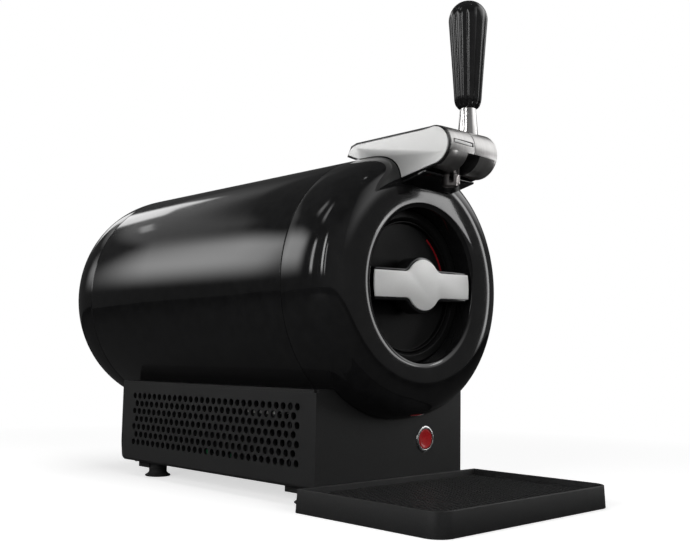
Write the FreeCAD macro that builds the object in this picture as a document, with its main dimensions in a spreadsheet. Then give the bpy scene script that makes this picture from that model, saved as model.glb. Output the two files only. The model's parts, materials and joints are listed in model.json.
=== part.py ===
"""Counter-top cooler and dispenser for one small beer keg, in millimetres.

A barrel lies along Y on a ventilated base, with its round door in the nose at -Y. A tap head with a
lever stands on top of the nose, and a drip tray lies in front. +Z is up, and the origin is on the
ground, under the middle of the overall box. Inside each sub-part y starts at the face of the nose.
"""
import FreeCAD, Part
import math
import os
import re
import Sketcher
from FreeCAD import Placement, Rotation, Vector

SIZES = {
    # barrel, nose and rear cap
    "barrel_radius": 105.0,
    "rear_room": 25.8,
    "fan_leg": 9.0,
    "shell_wall": 2.5,
    "lip_length": 6.0,
    "lip_wall": 2.0,
    "lip_gap": 0.1,
    "nose_depth": 49.7,
    "nose_straight": 9.3,
    "nose_bulge": 42.0,
    "crest_radius": 75.0,
    "bore_radius": 60.6,
    "collar_wall": 2.4,
    "collar_depth": 30.0,
    "dome_depth": 70.0,
    "dome_flat": 30.0,
    # chamber and its cooling
    "chamber_radius": 58.6,
    "chamber_wall": 1.4,
    "chamber_front": 30.0,
    "chamber_depth": 250.0,
    "chamber_flange": 4.0,
    "insulation_gap": 0.5,
    "insulation_back": 20.0,
    "port_y": 38.0,
    "port_radius": 6.5,
    "port_wall": 1.6,
    "cooler_inset": 125.3,
    "cold_width": 40.0,
    "window_gap": 0.5,
    "module_thick": 4.0,
    "sink_drop": 1.6,
    "sink_width": 100.0,
    "sink_length": 90.0,
    "sink_plate": 5.0,
    "fin_height": 20.0,
    "fin_thick": 1.6,
    "fin_count": 13,
    "fan_size": 80.0,
    "fan_thick": 10.0,
    "fan_bore": 38.0,
    "fan_gap": 1.2,
    "fan_hub": 14.0,
    "blade_count": 7,
    "blade_thick": 1.6,
    "blade_tilt": 38.0,
    "spindle_radius": 2.0,
    # round door and its bayonet
    "door_gap": 0.4,
    "running_fit": 0.05,
    "seal_thick": 1.2,
    "ring_front": 22.0,
    "ring_thick": 3.0,
    "tab_radius": 55.2,
    "tab_angle": 44.0,
    "rim_front": 15.5,
    "seal_squeeze": 0.1,
    "sleeve_wall": 2.0,
    "dial_radius": 52.0,
    "dial_front": 17.8,
    "dial_floor": 21.5,
    "dial_back": 23.5,
    "dial_edge": 1.5,
    "web_front": 24.2,
    "web_back": 25.6,
    "shaft_radius": 8.0,
    "lug_radius": 56.4,
    "lug_thick": 3.0,
    "lug_angle": 36.0,
    "mark_radius": 50.0,
    "mark_width": 3.0,
    "mark_thick": 1.0,
    "mark_angle": 40.0,
    "mark_turn": 54.0,
    "bar_length": 112.0,
    "bar_width": 20.0,
    "bar_thick": 1.5,
    "bar_hub": 19.8,
    "bar_blend": 9.0,
    "bar_tilt": -2.25,
    "grip_rise": 2.4,
    "grip_inset": 0.8,
    "grip_depth": 13.0,
    # base
    "base_inset": 20.6,
    "base_front": 30.0,
    "base_rear_inset": 30.5,
    "cradle_drop": 80.9,
    "base_bottom": 13.5,
    "base_wall": 2.5,
    "base_round": 6.0,
    "rib_inset": 30.0,
    "rib_thick": 3.0,
    "vent_pitch": 8.0,
    "vent_radius": 2.8,
    "vent_margin": 8.0,
    "vent_start": 20.5,
    "vent_rise": 17.4,
    "slot_width": 5.0,
    "slot_pitch": 9.0,
    "slot_count": 7,
    "slot_length": 64.0,
    "foot_inset": 19.4,
    "foot_front": 56.4,
    "foot_rear_inset": 33.3,
    "foot_radius": 8.0,
    "foot_flare": 11.5,
    "foot_lip": 0.8,
    "foot_skirt": 3.4,
    "foot_height": 7.5,
    "boss_width": 18.0,
    "button_x": 37.6,
    "button_z": 44.8,
    "button_radius": 7.8,
    "button_gap": 0.4,
    "button_travel": 1.5,
    "button_proud": 0.8,
    "bezel_radius": 10.8,
    "bezel_proud": 1.0,
    "bezel_sleeve": 1.2,
    "button_flange": 9.2,
    "switch_width": 14.0,
    "switch_depth": 9.0,
    "board_length": 46.0,
    "board_width": 70.0,
    "board_thick": 1.6,
    "board_rise": 7.0,
    "board_room": 6.0,
    "inlet_x": -42.0,
    "inlet_z": 48.0,
    "inlet_width": 26.0,
    "inlet_height": 18.0,
    "inlet_depth": 16.0,
    "inlet_rim": 2.0,
    "screw_head": 3.0,
    "screw_shank": 1.5,
    "screw_head_height": 1.6,
    "head_room": 0.2,
    # drip tray
    "tray_reach": 100.7,
    "tray_width": 205.2,
    "tray_height": 17.0,
    "tray_draft": 0.8,
    "tray_gap": 0.3,
    "tray_round": 13.0,
    "tray_wall": 2.2,
    "tray_floor": 2.0,
    "ledge_width": 4.0,
    "tongue_half": 45.0,
    "tongue_length": 30.0,
    "tongue_thick": 3.0,
    "grid_recess": 4.5,
    "grid_thick": 2.0,
    "grid_gap": 0.4,
    "grid_pitch": 5.0,
    "grid_hole": 1.6,
    "grid_margin": 5.0,
    # tap head
    "drum_y": -31.9,
    "drum_rise": -4.75,
    "drum_radius": 16.5,
    "drum_taper": 1.1,
    "drum_gap": 0.4,
    "drum_seam": 0.3,
    "drum_round": 2.0,
    "drum_core": 6.3,
    "notch_width": 7.8,
    "head_half": 28.2,
    "head_rise": 10.3,
    "cheek_thick": 2.0,
    "cheek_arc": 15.2,
    "cheek_slope_y": 8.0,
    "cheek_slope_rise": -28.0,
    "cheek_tip_y": 58.4,
    "cheek_tip_rise": 0.3,
    "head_inset": 0.8,
    "arm_proud": 0.8,
    "drum_left": 27.0,
    "cheek_inset": 0.9,
    "tail_top": 10.2,
    "tail_step": 4.0,
    "tail_drop": 1.8,
    "tail_under": 12.0,
    "tail_under_drop": 5.0,
    "belly_y": 33.3,
    "belly_rise": -46.7,
    "seat_gap": 0.6,
    "tail_gap": 0.3,
    "head_swing": 30.0,
    "hinge_y": 53.0,
    "hinge_rise": 4.4,
    "hinge_radius": 2.0,
    "bracket_half": 14.0,
    "bracket_wall": 2.6,
    "bracket_gap": 0.5,
    "axle_radius": 4.0,
    "tab_length": 22.6,
    "tab_end": 3.3,
    "tab_height": 3.0,
    "tab_depth": 1.6,
    "tab_rise": 2.2,
    "tab_plate": 1.2,
    "tube_half": 5.0,
    "tube_low_rise": -9.6,
    "tube_high_rise": 7.4,
    "throat_y": -15.0,
    "anvil_thick": 1.6,
    "anvil_height": 10.0,
    "cam_radius": 13.0,
    "cam_width": 4.0,
    "cam_half": 3.0,
    "chin_half": 29.4,
    "chin_back_y": 6.0,
    "chin_back_rise": -29.3,
    "chin_front_rise": -22.1,
    "chin_front_y": -25.0,
    "chin_thick": 1.8,
    "nozzle_y": -25.0,
    "nozzle_radius": 6.25,
    "nozzle_wall": 1.5,
    "nozzle_bottom_rise": -30.6,
    "nozzle_top_rise": -15.6,
    "nozzle_ring": 3.0,
    "nozzle_slot": 5.0,
    "rod_radius": 2.7,
    "rod_x": 3.6,
    "rod_y": -28.6,
    "rod_top_rise": -12.3,
    # lever
    "lever_x": 12.5,
    "neck_low": 7.6,
    "neck_low_rise": 14.4,
    "neck_high": 6.15,
    "neck_high_rise": 31.8,
    "stud_radius": 2.5,
    "stud_end_rise": 68.4,
    "grip_foot_rise": 32.8,
    "grip_foot": 8.0,
    "grip_low_rise": 40.4,
    "grip_low": 10.75,
    "grip_wide_rise": 102.0,
    "grip_wide": 15.3,
    "grip_top_rise": 118.0,
}

# Sizes that follow from the ones above. The barrel stands on its stack of cooler, fan and floor, the
# base takes its width and length from the barrel, and the tap head is measured from the barrel's top.
FORMULAS = {
    "axis_height": "base_bottom + base_wall + fan_leg + fan_thick + fin_height + sink_plate"
                   " + sink_drop + barrel_radius",
    "barrel_length": "chamber_front + chamber_depth + insulation_back + rear_room - nose_depth",
    "barrel_top": "axis_height + barrel_radius",
    "base_width": "2 * (barrel_radius - base_inset)",
    "base_length": "nose_depth + barrel_length - base_rear_inset - base_front",
    "base_top": "axis_height - cradle_drop",
    "cooler_y": "base_front + base_length - cooler_inset",
    "foot_spread": "base_width / 2 - foot_inset",
    "foot_rear": "base_front + base_length - foot_rear_inset",
    "drum_z": "barrel_top + drum_rise",
    "head_top": "barrel_top + head_rise",
    "cheek_slope_z": "barrel_top + cheek_slope_rise",
    "cheek_tip_z": "barrel_top + cheek_tip_rise",
    "belly_z": "barrel_top + belly_rise",
    "hinge_z": "barrel_top + hinge_rise",
    "tube_low": "barrel_top + tube_low_rise",
    "tube_high": "barrel_top + tube_high_rise",
    "chin_back_z": "barrel_top + chin_back_rise",
    "chin_front_z": "barrel_top + chin_front_rise",
    "nozzle_bottom": "barrel_top + nozzle_bottom_rise",
    "nozzle_top": "barrel_top + nozzle_top_rise",
    "rod_top": "barrel_top + rod_top_rise",
    "neck_low_z": "barrel_top + neck_low_rise",
    "neck_high_z": "barrel_top + neck_high_rise",
    "stud_end": "barrel_top + stud_end_rise",
    "grip_foot_z": "barrel_top + grip_foot_rise",
    "grip_low_z": "barrel_top + grip_low_rise",
    "grip_wide_z": "barrel_top + grip_wide_rise",
    "grip_top_z": "barrel_top + grip_top_rise",
}

# Where the origin of the part's frame lies in Y: the face of the nose, seen from the middle.
FACE_Y = "(tray_reach - nose_depth - barrel_length - dome_depth) / 2"
REAR_SEAM = "(nose_depth + barrel_length)"
CHAMBER_OUTER = "(chamber_radius + chamber_wall)"
BASE_REAR = "(base_front + base_length)"
FLOOR_TOP = "(base_bottom + base_wall)"
INNER_HALF = "(base_width / 2 - base_wall)"
SINK_TOP = "(axis_height - barrel_radius - sink_drop)"
MODULE_TOP = "(axis_height - barrel_radius - sink_drop + module_thick)"
GRID_TOP = "(tray_height - grid_recess)"
FAN_Z = "(axis_height - barrel_radius - sink_drop - sink_plate - fin_height - fan_thick)"
ROTOR_FRONT = "(web_back + seal_thick / 2)"

doc = FreeCAD.newDocument("KegDispenser")
sheet = doc.addObject("Spreadsheet::Sheet", "Sizes")
for row, (alias, value) in enumerate(SIZES.items(), 1):
    sheet.set(f"A{row}", str(value))
    sheet.setAlias(f"A{row}", alias)
for row, (alias, formula) in enumerate(FORMULAS.items(), 1):
    sheet.set(f"B{row}", f"={formula}")
    sheet.setAlias(f"B{row}", alias)
doc.recompute()

ALIASES = re.compile(r"\b(" + "|".join([*SIZES, *FORMULAS]) + r")\b")
NODES = []


def bound(text):
    """An expression that reads the spreadsheet's cells by their aliases."""
    return ALIASES.sub(r"Sizes.\1", text)


def size(text):
    """The present value of such an expression."""
    value = sheet.evalExpression(text)
    return float(getattr(value, "Value", value))


def bind(item, **expressions):
    for name, text in expressions.items():
        item.setExpression(name, bound(text))


def node(item, label, x="0", y="0", z="0", turn=None):
    """Names a sub-part and places it; y counts from the face of the nose."""
    item.Label = label
    if turn:
        item.Placement = Placement(Vector(), Rotation(Vector(0, 1, 0), 0))
        item.setExpression("Placement.Rotation.Angle", bound(f"({turn}) * 1deg"))
    item.setExpression("Placement.Base.x", bound(x))
    item.setExpression("Placement.Base.y", bound(f"{FACE_Y} + {y}"))
    item.setExpression("Placement.Base.z", bound(z))
    NODES.append(item)
    return item


def feature_node(label, shape, x="0", y="0", z="0"):
    """A sub-part whose shape is made with Part's own functions."""
    item = doc.addObject("Part::Feature", label)
    item.Shape = shape
    return node(item, label, x, y, z)


# Sketches and features of a body ---------------------------------------------------------------

PLANES = {"X": "YZ_Plane", "Y": "XZ_Plane", "Z": "XY_Plane"}


def origin_item(body, role):
    return next(item for item in body.Origin.OriginFeatures if item.Role == role)


def new_body(name):
    return doc.addObject("PartDesign::Body", name)


def sketch_on(body, normal, start="0"):
    """A sketch across the given axis, at start along it."""
    drawn = body.newObject("Sketcher::SketchObject", f"{body.Name}_sketch")
    drawn.AttachmentSupport = [(origin_item(body, PLANES[normal]), "")]
    drawn.MapMode = "FlatFace"
    side = "-" if normal == "Y" else ""
    drawn.setExpression("AttachmentOffset.Base.z", bound(f"{side}1 * ({start})"))
    return drawn


def pin(drawn, geometry, point, across, upward):
    """Holds one point of the sketch at two expressions."""
    for kind, text in (("DistanceX", across), ("DistanceY", upward)):
        name = f"{kind[-1]}{geometry}_{point}"
        index = drawn.addConstraint(
            Sketcher.Constraint(kind, -1, 1, geometry, point, size(text)))
        drawn.renameConstraint(index, name)
        drawn.setExpression(f"Constraints.{name}", bound(text))


def outline(drawn, points):
    """A closed outline of straight lines through corners given as pairs of expressions."""
    first = drawn.GeometryCount
    places = [Vector(size(a), size(b), 0) for a, b in points]
    count = len(points)
    for i in range(count):
        drawn.addGeometry(Part.LineSegment(places[i], places[(i + 1) % count]))
    for i in range(count):
        after = first + (i + 1) % count
        drawn.addConstraint(Sketcher.Constraint("Coincident", first + i, 2, after, 1))
    for i, (a, b) in enumerate(points):
        pin(drawn, first + i, 1, a, b)
    return drawn


def circle(drawn, radius, across="0", upward="0"):
    index = drawn.addGeometry(Part.Circle(
        Vector(size(across), size(upward), 0), Vector(0, 0, 1), size(radius)))
    constraint = drawn.addConstraint(Sketcher.Constraint("Radius", index, size(radius)))
    drawn.renameConstraint(constraint, f"radius{index}")
    drawn.setExpression(f"Constraints.radius{index}", bound(radius))
    pin(drawn, index, 3, across, upward)
    return drawn


def block(low_a, low_b, high_a, high_b):
    """The four corners of an upright rectangle."""
    return [(low_a, low_b), (high_a, low_b), (high_a, high_b), (low_a, high_b)]


def centred(width, height):
    return block(f"-({width}) / 2", f"-({height}) / 2", f"({width}) / 2", f"({height}) / 2")


def pad(body, drawn, length, normal="Z", both=False):
    grown = body.newObject("PartDesign::Pad", f"{body.Name}_pad")
    grown.Profile = drawn
    grown.Reversed = normal == "Y"
    grown.Midplane = both
    bind(grown, Length=length)
    doc.recompute()
    return grown


def pocket(body, drawn, length, backwards=False, both=False):
    """Cuts against the sketch's normal, or along it when backwards; it must take something away."""
    before = body.Shape.Volume
    cut = body.newObject("PartDesign::Pocket", f"{body.Name}_pocket")
    cut.Profile = drawn
    cut.Reversed = backwards
    cut.Midplane = both
    bind(cut, Length=length)
    doc.recompute()
    if body.Shape.Volume > before - 1e-6:
        raise ValueError(f"a pocket of {body.Name} cuts nothing")
    return cut


def revolved(body, normal, axis, points, angle="360", kind="Revolution"):
    """Turns a profile about an axis of its sketch, centred on the sketch's plane."""
    drawn = outline(sketch_on(body, normal), points)
    made = body.newObject(f"PartDesign::{kind}", f"{body.Name}_{kind.lower()}")
    made.Profile = drawn
    made.ReferenceAxis = (drawn, [axis])
    made.Midplane = True
    bind(made, Angle=f"{angle}")
    doc.recompute()
    return made


def about_x(body, points, **more):
    return revolved(body, "Z", "H_Axis", points, **more)


def about_y(body, points, **more):
    return revolved(body, "X", "H_Axis", points, **more)


def about_z(body, points, **more):
    return revolved(body, "Y", "V_Axis", [(r, along) for along, r in points], **more)


def around(body, feature, axis, count):
    """Repeats a feature evenly round an axis of the body."""
    pattern = body.newObject("PartDesign::PolarPattern", f"{body.Name}_pattern")
    pattern.Originals = [feature]
    pattern.Axis = (origin_item(body, f"{axis}_Axis"), [""])
    pattern.Angle = 360
    bind(pattern, Occurrences=count)
    body.Tip = pattern
    doc.recompute()
    return pattern


def along(body, feature, axis, length, count):
    """Repeats a feature in a row along an axis of the body."""
    pattern = body.newObject("PartDesign::LinearPattern", f"{body.Name}_pattern")
    pattern.Originals = [feature]
    pattern.Direction = (origin_item(body, f"{axis}_Axis"), [""])
    bind(pattern, Length=length, Occurrences=count)
    body.Tip = pattern
    doc.recompute()
    return pattern


def rounded(body, radius, wanted):
    """Rounds the edges of a body that the test picks."""
    base = body.Tip
    names = [f"Edge{i}" for i, edge in enumerate(base.Shape.Edges, 1) if wanted(edge)]
    if not names:
        raise ValueError(f"no edge of {body.Name} to round")
    fillet = body.newObject("PartDesign::Fillet", f"{body.Name}_fillet")
    fillet.Base = (base, names)
    bind(fillet, Radius=radius)
    doc.recompute()
    return fillet


def ring(y0, y1, inner, outer):
    """The profile of a plain ring: (along, radius) corners."""
    return [(y0, inner), (y1, inner), (y1, outer), (y0, outer)]


# Shapes made with Part's own functions ----------------------------------------------------------

def superellipse(along0, radius0, reach, rise, power, steps=12):
    """A quarter curve from its outermost radius to its front end, as one spline."""
    places = []
    for i in range(steps + 1):
        t = math.pi / 2 * i / steps
        out = max(math.cos(t), 0) ** (2 / power)
        up = math.sin(t) ** (2 / power)
        places.append(Vector(0, along0 + reach * up, radius0 + rise * out))
    spline = Part.BSplineCurve()
    spline.interpolate(places)
    return spline.toShape(), places


def path(places):
    return [Part.makeLine(a, b) for a, b in zip(places, places[1:]) if (b - a).Length > 1e-6]


def spun(edges):
    """A solid of revolution about Y from a closed profile in the YZ plane."""
    face = Part.Face(Part.Wire(Part.__sortEdges__(edges)))
    solid = face.revolve(Vector(0, 0, 0), Vector(0, 1, 0), 360)
    return Part.Solid(solid.Shells[0]) if solid.ShapeType != "Solid" else solid


def box(x0, x1, y0, y1, z0, z1):
    return Part.makeBox(x1 - x0, y1 - y0, z1 - z0, Vector(x0, y0, z0))


def rounded_wire(corners, bends):
    """A closed outline through corners, each with its own bend radius, 0 for a sharp one."""
    edges, count, last = [], len(corners), None
    for i in range(count + 1):
        here, bend = corners[i % count], bends[i % count]
        back = (corners[(i - 1) % count] - here).normalize()
        ahead = (corners[(i + 1) % count] - here).normalize()
        half = back.getAngle(ahead) / 2
        enter = here + back * (bend / math.tan(half))
        leave = here + ahead * (bend / math.tan(half))
        if last is not None:
            edges.append(Part.makeLine(last, enter))
        if bend and i < count:
            middle = here + (back + ahead).normalize() * (bend / math.sin(half) - bend)
            edges.append(Part.Arc(enter, middle, leave).toShape())
        last = leave
    return Part.Wire(edges)


def punched(edge, holes, radius, thick, normal):
    """A plate with round holes: its outline and their centres in a plane, grown along its normal."""
    face = Part.Face(edge)
    rings = [Part.Wire(Part.makeCircle(radius, centre, normal * -1)) for centre in holes]
    face.cutHoles(rings)
    return face.extrude(normal * thick)


# Barrel, nose and rear cap ----------------------------------------------------------------------

NOSE_POWER = 3.0
DOME_POWER = 2.5


def make_barrel_shell():
    body = new_body("barrel")
    about_y(body, ring("nose_depth", REAR_SEAM, "barrel_radius - shell_wall", "barrel_radius"))
    window = sketch_on(body, "Z")
    half = "(cold_width / 2 + window_gap)"
    outline(window, block(f"-{half}", f"cooler_y - {half}", half, f"cooler_y + {half}"))
    pocket(body, window, "barrel_radius + 1")
    node(body, "barrel_shell", z="axis_height")


def register(seam, side):
    """The inner lip that centres a cap in the barrel: side is the way from the seam to its cap."""
    inner = size("barrel_radius - shell_wall")
    lip, root = size("lip_length"), size("shell_wall") / 2
    low, high = inner - size("lip_wall"), inner - size("lip_gap")
    return spun(path([
        Vector(0, seam - side * lip, low), Vector(0, seam - side * lip, high),
        Vector(0, seam, high), Vector(0, seam, inner + root),
        Vector(0, seam + side * lip / 2, inner + root), Vector(0, seam + side * lip / 2, low),
        Vector(0, seam - side * lip, low)]))


def make_rear_cap():
    radius, wall = size("barrel_radius"), size("shell_wall")
    flat, depth = size("dome_flat"), size("dome_depth")
    seam = size(REAR_SEAM)
    outer, _ = superellipse(seam, flat, depth, radius - flat, DOME_POWER)
    inner, _ = superellipse(seam, flat, depth - wall, radius - wall - flat, DOME_POWER)
    end, inner_end = seam + depth, seam + depth - wall
    edges = [outer, inner]
    edges += path([Vector(0, end, flat), Vector(0, end, 0), Vector(0, inner_end, 0),
                   Vector(0, inner_end, flat)])
    edges += path([Vector(0, seam, radius), Vector(0, seam, radius - wall)])
    feature_node("rear_cap", spun(edges).fuse(register(seam, 1)), z="axis_height")


def nose_solid():
    """The whole nose in one: its bulged skin, the collar round the bore and the port."""
    radius, wall, bore = size("barrel_radius"), size("shell_wall"), size("bore_radius")
    crest, seam = size("crest_radius"), size("nose_depth")
    centre, reach = seam - size("nose_straight"), size("nose_bulge")
    collar, depth = bore + size("collar_wall"), size("collar_depth")
    outer_up, _ = superellipse(centre, crest, -reach, radius - crest, NOSE_POWER)
    outer_down, low = superellipse(centre, crest, -reach, crest - radius, NOSE_POWER)
    inner_up, _ = superellipse(centre, crest, wall - reach, radius - crest - wall, NOSE_POWER)
    inner_down, _ = superellipse(centre, crest, wall - reach, crest - radius + wall, NOSE_POWER)
    shell = spun([outer_up, outer_down, inner_up, inner_down] + path([
        Vector(0, centre, radius), Vector(0, seam, radius), Vector(0, seam, radius - wall),
        Vector(0, centre, radius - wall)]) + path([
            Vector(0, centre, 2 * crest - radius), Vector(0, centre, 2 * crest - radius + wall)]))
    bore_space = Part.makeCylinder(bore, 3 * seam, Vector(0, -seam, 0), Vector(0, 1, 0))
    behind = Part.makeCylinder(collar + 1, 3 * seam, Vector(0, depth, 0), Vector(0, 1, 0))
    tube = Part.makeCylinder(collar, depth, Vector(0, 0, 0), Vector(0, 1, 0))
    front = face_edge_y(bore)
    ahead = Part.makeCylinder(collar + 1, front + 3, Vector(0, -3, 0), Vector(0, 1, 0))
    sleeve = tube.cut(bore_space).cut(ahead)
    inside = Part.makeCylinder(collar, 3 * seam, Vector(0, 2 * size("shell_wall"), 0),
                               Vector(0, 1, 0))
    nose = shell.cut(bore_space).cut(behind).cut(inside).fuse(sleeve).fuse(register(seam, -1))
    port = Part.makeCylinder(size("port_radius"), radius, Vector(0, size("port_y"), bore))
    return nose.cut(port)


def make_nose():
    """The nose is moulded in two: the outer ring, and the bore's liner that snaps in at the crest."""
    nose, seam = nose_solid(), size("nose_depth")
    parting = Part.makeCylinder(size("crest_radius"), 4 * seam, Vector(0, -2 * seam, 0), Vector(0, 1, 0))
    feature_node("nose_ring", nose.cut(parting).removeSplitter(), z="axis_height")
    feature_node("bore_liner", nose.common(parting).removeSplitter(), z="axis_height")


def face_edge_y(at_radius):
    """Where the inner side of the nose's round front lies at a radius inside its crest."""
    centre = size("nose_depth - nose_straight")
    share = (size("crest_radius") - at_radius) / size("barrel_radius - crest_radius")
    return centre - size("nose_bulge") * (1 - share ** NOSE_POWER) ** (1 / NOSE_POWER)


make_barrel_shell()
make_rear_cap()
make_nose()


# Chamber, insulation and cooling ----------------------------------------------------------------

def port_hole(body, radius):
    """A round hole up through the top at the beer tube's port."""
    drawn = circle(sketch_on(body, "Z"), radius, "0", "port_y")
    pocket(body, drawn, "barrel_radius", backwards=True)


def make_chamber():
    body = new_body("chamber")
    back = "chamber_front + chamber_depth"
    about_y(body, [
        ("chamber_front", "chamber_radius"), (f"{back} - chamber_wall", "chamber_radius"),
        (f"{back} - chamber_wall", "0"), (back, "0"), (back, CHAMBER_OUTER),
        ("chamber_front + chamber_wall", CHAMBER_OUTER),
        ("chamber_front + chamber_wall", f"{CHAMBER_OUTER} + chamber_flange"),
        ("chamber_front", f"{CHAMBER_OUTER} + chamber_flange")])
    port_hole(body, "port_radius - port_wall")
    node(body, "cooling_chamber", z="axis_height")


def make_insulation():
    body = new_body("insulation")
    front = "nose_depth + lip_length"
    back = "chamber_front + chamber_depth"
    outer = "barrel_radius - shell_wall - insulation_gap"
    about_y(body, [
        (front, CHAMBER_OUTER), (back, CHAMBER_OUTER), (back, "0"),
        (f"{back} + insulation_back", "0"), (f"{back} + insulation_back", outer),
        (front, outer)])
    half = "(cold_width / 2 + window_gap)"
    window = sketch_on(body, "Z")
    outline(window, block(f"-{half}", f"cooler_y - {half}", half, f"cooler_y + {half}"))
    pocket(body, window, "barrel_radius + 1")
    node(body, "insulation_sleeve", z="axis_height")


def make_tube_port():
    """The soft liner of the beer tube's way up from the chamber to the tap head."""
    body = new_body("liner")
    drawn = circle(sketch_on(body, "Z", CHAMBER_OUTER), "port_radius")
    circle(drawn, "port_radius - port_wall")
    pad(body, drawn, f"barrel_radius - {CHAMBER_OUTER} - 2 * seat_gap")
    node(body, "tube_port", y="port_y", z="axis_height")


def make_cold_block():
    width, top = size("cold_width"), size(MODULE_TOP)
    axis = size("axis_height")
    blank = box(-width / 2, width / 2, -width / 2, width / 2, top - axis, -size(CHAMBER_OUTER) / 2)
    bore = Part.makeCylinder(size(CHAMBER_OUTER), 2 * width, Vector(0, -width, 0),
                             Vector(0, 1, 0))
    feature_node("cold_block", blank.cut(bore), y="cooler_y", z="axis_height")


def make_module():
    body = new_body("module")
    pad(body, outline(sketch_on(body, "Z"), centred("cold_width", "cold_width")), "module_thick")
    node(body, "thermoelectric_module", y="cooler_y", z=SINK_TOP)


def make_heat_sink():
    body = new_body("sink")
    plate = outline(sketch_on(body, "Z", "-sink_plate"), centred("sink_width", "sink_length"))
    pad(body, plate, "sink_plate")
    fin = sketch_on(body, "Z", "-sink_plate - fin_height")
    outline(fin, block("-sink_width / 2", "-sink_length / 2",
                       "-sink_width / 2 + fin_thick", "sink_length / 2"))
    first = pad(body, fin, "fin_height")
    along(body, first, "X", "sink_width - fin_thick", "fin_count")
    node(body, "heat_sink", y="cooler_y", z=SINK_TOP)


def make_fan_frame():
    """A square frame on four legs, with a spider that carries the rotor's spindle."""
    body = new_body("fan")
    pad(body, outline(sketch_on(body, "Z"), centred("fan_size", "fan_size")), "fan_thick")
    pocket(body, circle(sketch_on(body, "Z", "fan_thick"), "fan_bore"), "fan_thick")
    spider = circle(sketch_on(body, "Z"), "fan_hub")
    pad(body, spider, "base_wall")
    arm = outline(sketch_on(body, "Z"), centred("2 * fan_bore + 1", "rib_thick"))
    pad(body, arm, "base_wall")
    cross = outline(sketch_on(body, "Z"), centred("rib_thick", "2 * fan_bore + 1"))
    pad(body, cross, "base_wall")
    pad(body, circle(sketch_on(body, "Z"), "spindle_radius"), "fan_thick - base_wall")
    leg_drop = "fan_leg"
    for sx in ("-", ""):
        for sy in ("-", ""):
            leg = sketch_on(body, "Z", f"-{leg_drop}")
            inset = "(fan_size / 2 - 4)"
            circle(leg, "3", f"{sx}{inset}", f"{sy}{inset}")
            pad(body, leg, leg_drop)
    node(body, "fan_frame", y="cooler_y", z=FAN_Z)


def make_fan_rotor():
    hub, tip = size("fan_hub"), size("fan_bore - fan_gap")
    low, high = size("base_wall + 0.5"), size("fan_thick - 0.6")
    pin_radius = size("spindle_radius + running_fit")
    wheel = Part.makeCylinder(hub, high - low, Vector(0, 0, low))
    count = int(size("blade_count"))
    thick = size("blade_thick")
    for i in range(count):
        blade = box(-3 * hub, 3 * hub, hub - 2, 2 * tip, -thick / 2, thick / 2)
        blade.rotate(Vector(), Vector(0, 1, 0), size("blade_tilt"))
        blade.translate(Vector(0, 0, (low + high) / 2))
        blade = blade.common(box(-2 * hub, 2 * hub, 0, 2 * tip, low + 0.3, high - 0.3))
        blade.rotate(Vector(), Vector(0, 0, 1), 360 * i / count)
        wheel = wheel.fuse(blade)
    wheel = wheel.common(Part.makeCylinder(tip, high, Vector(0, 0, 0)))
    well = Part.makeCylinder(pin_radius, high - 1.2, Vector(0, 0, 0))
    feature_node("fan_rotor", wheel.cut(well).removeSplitter(), y="cooler_y", z=FAN_Z)


make_chamber()
make_insulation()
make_tube_port()
make_cold_block()
make_module()
make_heat_sink()
make_fan_frame()
make_fan_rotor()


# Round door --------------------------------------------------------------------------------------

def make_bayonet_ring():
    """A flat ring inside the nose's collar, whose three tabs hold the door's lugs."""
    body = new_body("bayonet")
    back = "(ring_front + ring_thick)"
    about_y(body, ring("ring_front", back, "chamber_radius", "bore_radius"))
    tab = about_y(body, ring("ring_front", back, "tab_radius", "chamber_radius + 1"),
                  angle="tab_angle")
    around(body, tab, "Y", "3")
    node(body, "bayonet_ring", z="axis_height", turn="60")


def make_chamber_seal():
    body = new_body("seal")
    about_y(body, ring("ring_front - seal_thick", "ring_front", "chamber_radius", "bore_radius"))
    node(body, "chamber_seal", z="axis_height")


def make_door_rim():
    body = new_body("rim")
    sleeve = "(dial_radius + door_gap)"
    sleeve_outer = f"({sleeve} + sleeve_wall)"
    outer = "bore_radius - door_gap"
    rim_back = "ring_front - seal_thick - seal_squeeze"
    about_y(body, [
        ("rim_front", outer), (rim_back, outer), (rim_back, sleeve_outer),
        ("web_back", sleeve_outer), ("web_back", "shaft_radius + running_fit"),
        ("web_front", "shaft_radius + running_fit"), ("web_front", sleeve),
        ("dial_front", sleeve), ("rim_front", sleeve_outer)])
    node(body, "door_rim", z="axis_height")


def make_door_dial():
    body = new_body("dial")
    floor_edge = "dial_radius - dial_edge"
    about_y(body, [
        ("dial_front", "dial_radius"), ("dial_back", "dial_radius"),
        ("dial_back", "shaft_radius"), (f"{ROTOR_FRONT} + lug_thick + 1", "shaft_radius"),
        (f"{ROTOR_FRONT} + lug_thick + 1", "0"), ("dial_floor", "0"),
        ("dial_floor", floor_edge), ("dial_front", floor_edge)])
    before = body.Shape.Volume
    about_y(body, ring("dial_floor - 1", "dial_floor + mark_thick", "mark_radius - mark_width",
                       "mark_radius"), angle="mark_angle", kind="Groove")
    if body.Shape.Volume >= before:
        raise ValueError("the mark's seat cuts nothing")
    node(body, "door_dial", z="axis_height", turn="mark_turn")


def make_lock_mark():
    """A coloured arc set flush in the dial's floor."""
    body = new_body("mark")
    about_y(body, ring("dial_floor", "dial_floor + mark_thick", "mark_radius - mark_width",
                       "mark_radius"), angle="mark_angle")
    node(body, "lock_indicator", z="axis_height", turn="mark_turn")


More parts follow.
